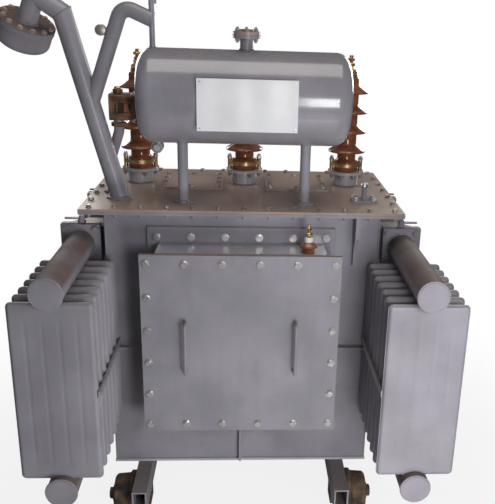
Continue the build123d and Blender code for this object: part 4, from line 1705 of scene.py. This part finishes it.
@dataclass(frozen=True)
class Relay:
    """The gas relay's window, label, nuts and screws, and its pipe's foot."""

    window: Pair = (-0.484, 1.780)
    frame_half: float = 0.0275
    glass_half: float = 0.021
    screw_reach: float = 0.0243
    axis: Pair = (-0.510, -0.190)
    bolt_reach: Pair = (0.040, 0.052)
    pipe: Point = (-0.562, -0.100, 1.407)

    def build(self, shop: Workshop) -> None:
        """Add the relay's details.

        Args:
            shop: What it builds with.
        """
        low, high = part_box("gas_relay")
        x, z = self.window
        outer, inner, reach = self.frame_half, self.glass_half, self.screw_reach
        origin = (x, low.y, z)
        frame = Solid()
        for bar in (
            ((-outer, inner), (outer, outer)), ((-outer, -outer), (outer, -inner)),
            ((-outer, -inner), (-inner, inner)), ((inner, -inner), (outer, inner)),
        ):
            for depth in (-0.0005, 0.003):
                frame.prism(rectangle(*bar), origin, depth)
        shop.solid("relay_frame", frame, Finish.CAST, bevel=0.0006)
        glass = Solid().prism(rectangle((-inner, -inner), (0.004, inner)), origin, 0.0015)
        shop.solid("relay_glass", glass, Finish.GLASS)
        label = Solid().prism(rectangle((0.006, -0.014), (inner, 0.019)), origin, 0.0012)
        shop.solid("relay_label", label, Finish.LABEL)
        spots = [((x + a, low.y - 0.003, z + b), FRONT) for a, b in four(reach, reach)]
        shop.fasten("relay_screws", spots, M4_SCREW, Finish.CAST)
        stem, back = self.axis
        spots = [((high.x - 0.012, back + a, z + b), LEFT) for a, b in four(*self.bolt_reach)]
        shop.fasten("relay_flange_bolts", spots, M10_NUT)
        cap = Solid().hexagon((stem, back, high.z), UP, 0.0135, 0.010, 0.2)
        shop.solid("relay_cap_nut", cap, Finish.BRASS)
        union = Solid().hexagon((stem, back, low.z - 0.018), UP, 0.031, 0.018, 0.1)
        shop.solid("relay_union", union, Finish.CAST)
        shop.weld("relay_pipe_welds", foot_lines(*self.pipe), 0.0035)


@dataclass(frozen=True)
class Bushings:
    """Glazed porcelain, its terminals, the turrets' nuts and the plates between them."""

    places: tuple[tuple[str, float], ...] = (("left", -0.470), ("centre", 0.0), ("right", 0.470))
    y: float = 0.120
    sheds: int = 4
    first_shed: float = 0.086
    shed_pitch: float = 0.088
    height: float = 0.420
    cap_height: float = 0.034
    turret_radius: float = 0.0575
    flange_nuts: int = 8
    nut_circle: float = 0.0725
    clamp_reach: float = 0.067
    plate_x: Pair = (0.094, 0.378)

    def profile(self) -> list[Pair]:
        """Return the porcelain's profile, with rounded shed edges."""
        points = [
            (0.0, 0.0), (0.053, 0.0), (0.054, 0.002), (0.054, 0.042), (0.052, 0.046),
            (0.044, 0.053), (0.042, 0.058),
        ]
        shed = (
            (0.042, -0.008), (0.043, -0.003), (0.046, 0.0), (0.060, 0.0015), (0.076, 0.001),
            (0.0815, 0.0005), (0.0838, 0.003), (0.0838, 0.0065), (0.081, 0.0105),
            (0.072, 0.016), (0.058, 0.0245), (0.048, 0.0315), (0.0435, 0.036), (0.042, 0.041),
        )
        for index in range(self.sheds):
            low = self.first_shed + index * self.shed_pitch
            points += [(radius, low + rise) for radius, rise in shed]
        return [*points, (0.042, 0.408), (0.040, 0.416), (0.034, 0.420), (0.0, self.height)]

    def build(self, shop: Workshop) -> None:
        """Add the bushings' details.

        Args:
            shop: What it builds with.
        """
        low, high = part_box("turrets")
        nuts, clamps, lines = [], [], []
        caps, studs = Solid(), Solid()
        cap = [
            (0.0, 0.0), (0.0305, 0.0), (0.031, 0.002), (0.031, 0.024), (0.028, 0.030),
            (0.018, 0.034), (0.0, self.cap_height),
        ]
        for name, x in self.places:
            glazed = Solid().lathe(self.profile(), (x, self.y, high.z), steps=72)
            node = f"hv_bushing_{name}"
            shop.solid(f"porcelain_{name}", glazed, Finish.GLAZE, replaces=[node], smooth=60)
            circle = around(self.flange_nuts, self.nut_circle, 0.5)
            nuts += [((x + a, self.y + b, high.z - 0.012), DOWN) for a, b in circle]
            reach = self.clamp_reach
            clamps += [((x + side * reach, self.y, high.z + 0.048), UP) for side in SIDES]
            for level in (low.z + 0.001, high.z - 0.0125):
                lines.append(circle_line((x, self.y, level), UP, self.turret_radius, 56))
            top = high.z + self.height
            caps.lathe(cap, (x, self.y, top))
            top += self.cap_height
            studs.lathe(thread(0.010, 0.060, 0.003), (x, self.y, top), steps=24)
            for rise, turn in ((0.0015, 0.1), (0.0145, 0.7), (0.036, 0.4)):
                studs.hexagon((x, self.y, top + rise), UP, 0.0175, 0.0115, turn)
        shop.solid("terminal_caps", caps, Finish.BRASS, replaces=["bushing_terminals"], smooth=50)
        shop.solid("terminal_studs", studs, Finish.BRASS)
        shop.fasten("turret_flange_nuts", nuts, M12_NUT, Finish.PAINT)
        shop.fasten("clamp_nuts", clamps, M12_NUT)
        shop.weld("turret_welds", lines, 0.004)
        self.plates(shop)
        self.pocket(shop)

    def plates(self, shop: Workshop) -> None:
        """Add the inspection plates' bolts and gaskets."""
        low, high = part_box("inspection_plates")
        groups = (((0.117, 0.236, 0.355), (-0.023, 0.228)), ((0.117, 0.355), (0.060, 0.145)))
        spots = [
            ((side * x, y, high.z), UP)
            for side in SIDES for xs, ys in groups for x in xs for y in ys
        ]
        shop.fasten("inspection_bolts", spots, M12_HEAD, Finish.DULL)
        gasket = Solid()
        near, far = self.plate_x
        for left, right in ((-far, -near), (near, far)):
            outline = rectangle((left, low.y - 0.001), (right, high.y + 0.001))
            gasket.prism(outline, (0.0, 0.0, low.z), 0.0022, up=BACK)
        shop.solid("inspection_gaskets", gasket, Finish.CORK)

    def pocket(self, shop: Workshop) -> None:
        """Add the thermometer pocket's cap, bolts and weld."""
        low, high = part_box("thermometer_pocket")
        x, y = halfway(low, high)
        dome = [
            (0.0125, -0.020), (0.0155, -0.016), (0.0158, -0.010), (0.0148, -0.004),
            (0.011, 0.0012), (0.005, 0.003), (0.0, 0.0034),
        ]
        cap = Solid().lathe(dome, (x, y, high.z), steps=32)
        shop.solid("pocket_cap", cap, Finish.ZINC, smooth=60)
        flat = low.z + 0.009
        corners = ((-0.038, -0.024), (0.038, 0.024), (-0.038, 0.024), (0.038, -0.024))
        shop.fasten("pocket_bolts", [((x + a, y + b, flat), UP) for a, b in corners], M12_HEAD)
        shop.weld("pocket_weld", [circle_line((x, y, flat + 0.0005), UP, 0.012, 24)], 0.003)


@dataclass(frozen=True)
class Wheels:
    """Axle nuts and split pins on the brackets' stub axles, and the base tubes' seams."""

    axle_y: float = 0.415
    axle_z: float = 0.100
    pin_out: float = 0.010
    pin_half: float = 0.024
    pin_axis: Point = (0.0, 0.5, 0.87)
    bracket_half: float = 0.048
    seam_end: float = 0.345

    def build(self, shop: Workshop) -> None:
        """Add the running gear's details.

        Args:
            shop: What it builds with.
        """
        nuts, pins, seams = Solid(), Solid(), []
        pin = rod(0.0025, -self.pin_half, self.pin_half)
        for name, side in (("left", -1), ("right", 1)):
            low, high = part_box(f"wheel_brackets_{name}")
            outer = low.x if side < 0 else high.x
            low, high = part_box(f"base_tube_{name}")
            for y in (-self.axle_y, self.axle_y):
                spot = (outer, y, self.axle_z)
                nuts.hexagon(spot, (side, 0.0, 0.0), 0.027, 0.016, 0.25)
                spot = (outer + side * self.pin_out, y, self.axle_z)
                pins.lathe(pin, spot, self.pin_axis, 12)
                for edge in (y - self.bracket_half, y + self.bracket_half):
                    seams.append([(low.x, edge, low.z), (high.x, edge, low.z)])
            for x in (low.x, high.x):
                seams.append([(x, -self.seam_end, high.z), (x, self.seam_end, high.z)])
        shop.solid("axle_nuts", nuts, Finish.RUST)
        shop.solid("axle_pins", pins, Finish.RUST)
        shop.weld("base_seams", seams, 0.004)


# A name that ends in an underscore stands for every node that starts with it.
NODE_FINISHES = {
    Finish.RUST: ("wheel_",),
    Finish.CAST: ("gas_relay",),
    Finish.BRASS: ("clamp_rings",),
    Finish.TOP_PAINT: ("cover", "inspection_plates", "filler_cap"),
    # The conservator and the box's flange: cleaner paint whose brighter grey is painted light.
    Finish.CLEAN_PAINT: ("cable_box_flange", "conservator_"),
    # The pipes take a brighter copy of the grey paint: painted light.
    Finish.PIPE_PAINT: ("vent_pipe", "equalising_pipe", "breather_pipe"),
    # Painted light: these parts take the far paler copy of the grey paint.
    Finish.PALE_PAINT: ("cable_box_body", "turrets", "tank_floor"),
    Finish.GRIMY_PAINT: ("vent_drum", *(f"radiator_{corner}_headers" for corner in CORNERS)),
}


def dress_nodes(nodes: dict[str, bpy.types.Object], palette: Palette) -> None:
    """Give every CAD node its finish.

    Args:
        nodes: The CAD nodes by name.
        palette: The materials.
    """
    for name, obj in nodes.items():
        chosen = Finish.PAINT
        for finish, starts in NODE_FINISHES.items():
            if any(name == s or (s.endswith("_") and name.startswith(s)) for s in starts):
                chosen = finish
        obj.data.materials.clear()
        obj.data.materials.append(palette[chosen])


# Studio


@dataclass(frozen=True)
class Camera:
    """The camera that matches the photograph: place in metres, angles in degrees."""

    place: Point = (-0.00129, -3.30823, 2.15988)
    angles: Point = (70.8274, -1.8764, -3.7784)
    focal_pixels: float = 748.568
    centre: Pair = (297.834, 273.093)
    frame: tuple[int, int] = (495, 504)
    sensor: float = 36.0

    def build(self) -> None:
        """Add the camera and make it the scene's."""
        data = bpy.data.cameras.new("camera")
        longest = max(self.frame)
        data.sensor_width = self.sensor
        data.lens = self.focal_pixels * self.sensor / longest
        data.shift_x = (self.frame[0] / 2 - self.centre[0]) / longest
        data.shift_y = (self.centre[1] - self.frame[1] / 2) / longest
        data.clip_end = 60.0
        obj = added("camera", data)
        obj.location = self.place
        obj.rotation_euler = [math.radians(angle) for angle in self.angles]
        bpy.context.scene.camera = obj


@dataclass(frozen=True)
class Lamp:
    """A soft rectangular lamp. Its power is in watts."""

    name: str
    place: Point
    aim: Point
    size: Pair
    power: float
    colour: Colour
    glossy: bool = True

    def build(self) -> None:
        """Add the lamp."""
        lamp = bpy.data.lights.new(self.name, "AREA")
        lamp.shape = "RECTANGLE"
        lamp.size, lamp.size_y = self.size
        lamp.energy = self.power
        lamp.color = self.colour
        obj = added(self.name, lamp)
        obj.location = self.place
        obj.visible_glossy = self.glossy
        way = Vector(self.aim) - Vector(self.place)
        obj.rotation_euler = way.to_track_quat("-Z", "Y").to_euler()


DAY: Colour = (1.0, 0.99, 0.98)
WARM: Colour = (1.0, 0.96, 0.92)
MIDDLE: Point = (0.0, 0.2, 1.2)
LAMPS = (
    Lamp("key", (1.2, -1.95, 1.6), (0.3, -0.4, 0.9), (0.6, 0.6), 10.0, DAY, glossy=False),
    Lamp("low", (0.7, -2.45, 0.5), (0.3, -0.4, 0.6), (0.6, 0.6), 24.0, DAY, glossy=False),
    Lamp("window", (0.7, -3.25, 1.75), (0.2, -0.3, 1.5), (0.5, 1.0), 19.0, (1.0, 1.0, 1.0)),
    Lamp("top", (0.1, -0.65, 3.9), (0.1, -0.3, 1.4), (2.4, 1.4), 26.0, WARM),
    Lamp("back_left", (-1.7, 2.6, 2.3), MIDDLE, (1.2, 1.2), 22.0, WARM),
    Lamp("back_right", (1.9, 2.4, 2.3), MIDDLE, (1.2, 1.2), 28.0, WARM),
)


@dataclass(frozen=True)
class Studio:
    """A pale floor and an even sky that the camera sees as white, and soft lamps."""

    horizon: float = 0.14
    zenith: float = 0.12
    near_shadow: float = 0.9
    far_shadow: float = 2.6
    least_white: float = 0.85

    def build(self) -> None:
        """Add the floor, the world and the lamps."""
        self.floor()
        self.world()
        for lamp in LAMPS:
            lamp.build()

    def close(
        self, tree: bpy.types.NodeTree, output: str, share: bpy.types.NodeSocket,
        lit: bpy.types.NodeSocket, white: bpy.types.NodeSocket,
    ) -> None:
        """End a tree in a mix of what lights the scene and what the camera sees.

        Args:
            tree: The tree.
            output: Type name of its output node.
            share: How much of the white shows.
            lit: The shader for all other rays.
            white: The shader for the camera.
        """
        blend = tree.nodes.new("ShaderNodeMixShader")
        for source, target in zip((share, lit, white), blend.inputs):
            tree.links.new(source, target)
        tree.links.new(blend.outputs[0], tree.nodes.new(output).inputs["Surface"])

    def floor(self) -> None:
        """Add the floor, white to the camera but for a faint shadow near the middle."""
        solid = Solid().sheet([[(x, y, 0.0) for x in spaced(-14, 14, 9)] for y in spaced(-10, 18, 9)])
        shade = Shade("floor")
        nodes = shade.tree.nodes
        tone = shade.mix(shade.noise(0.7, 2.0) * 0.4, (0.5, 0.49, 0.48), (0.45, 0.45, 0.45))
        shader, glow = nodes.new("ShaderNodeBsdfPrincipled"), nodes.new("ShaderNodeEmission")
        shade.feed(shader.inputs["Base Color"], tone)
        shader.inputs["Roughness"].default_value = 0.9
        glow.inputs["Strength"].default_value = 1.0
        seen = shade.node("ShaderNodeLightPath", out="Is Camera Ray")
        away = shade.node(
            "ShaderNodeVectorMath", shade.place, operation="LENGTH", out="Value"
        ).between(self.near_shadow, self.far_shadow)
        share = seen * (away * (1.0 - self.least_white) + self.least_white)
        self.close(
            shade.tree, "ShaderNodeOutputMaterial", share.socket, shader.outputs[0], glow.outputs[0]
        )
        solid.piece("floor", shade.material)

    def world(self) -> None:
        """Add the sky."""
        world = bpy.data.worlds.new("sky")
        world.use_nodes = True
        tree = world.node_tree
        tree.nodes.clear()
        light, white = (tree.nodes.new("ShaderNodeBackground") for _ in range(2))
        light.inputs["Color"].default_value = (0.95, 0.96, 1.0, 1.0)
        white.inputs["Color"].default_value = (1.0, 1.0, 1.0, 1.0)
        white.inputs["Strength"].default_value = 1.0
        place = tree.nodes.new("ShaderNodeTexCoord")
        parts = tree.nodes.new("ShaderNodeSeparateXYZ")
        height = tree.nodes.new("ShaderNodeMapRange")
        height.inputs["To Min"].default_value = self.horizon
        height.inputs["To Max"].default_value = self.zenith
        tree.links.new(place.outputs["Generated"], parts.inputs[0])
        tree.links.new(parts.outputs["Z"], height.inputs["Value"])
        tree.links.new(height.outputs[0], light.inputs["Strength"])
        seen = tree.nodes.new("ShaderNodeLightPath").outputs["Is Camera Ray"]
        self.close(tree, "ShaderNodeOutputWorld", seen, light.outputs[0], white.outputs[0])
        bpy.context.scene.world = world


def main() -> None:
    """Dress the transformer and light it."""
    logging.basicConfig(level=logging.INFO, format="%(name)s: %(message)s")
    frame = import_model()
    palette = Palette()
    shop = Workshop(palette, FastenerKit(), WeldKit())
    dress_nodes(frame["nodes"], palette)
    for assembly in (
        Tank(), CableBox(), Radiators(), Conservator(), Vent(), Relay(), Bushings(), Wheels(),
    ):
        assembly.build(shop)
        log.info("built %s", type(assembly).__name__)
    Camera().build()
    Studio().build()
    bpy.context.scene.view_settings.view_transform = "Standard"


if __name__ == "__main__":
    main()
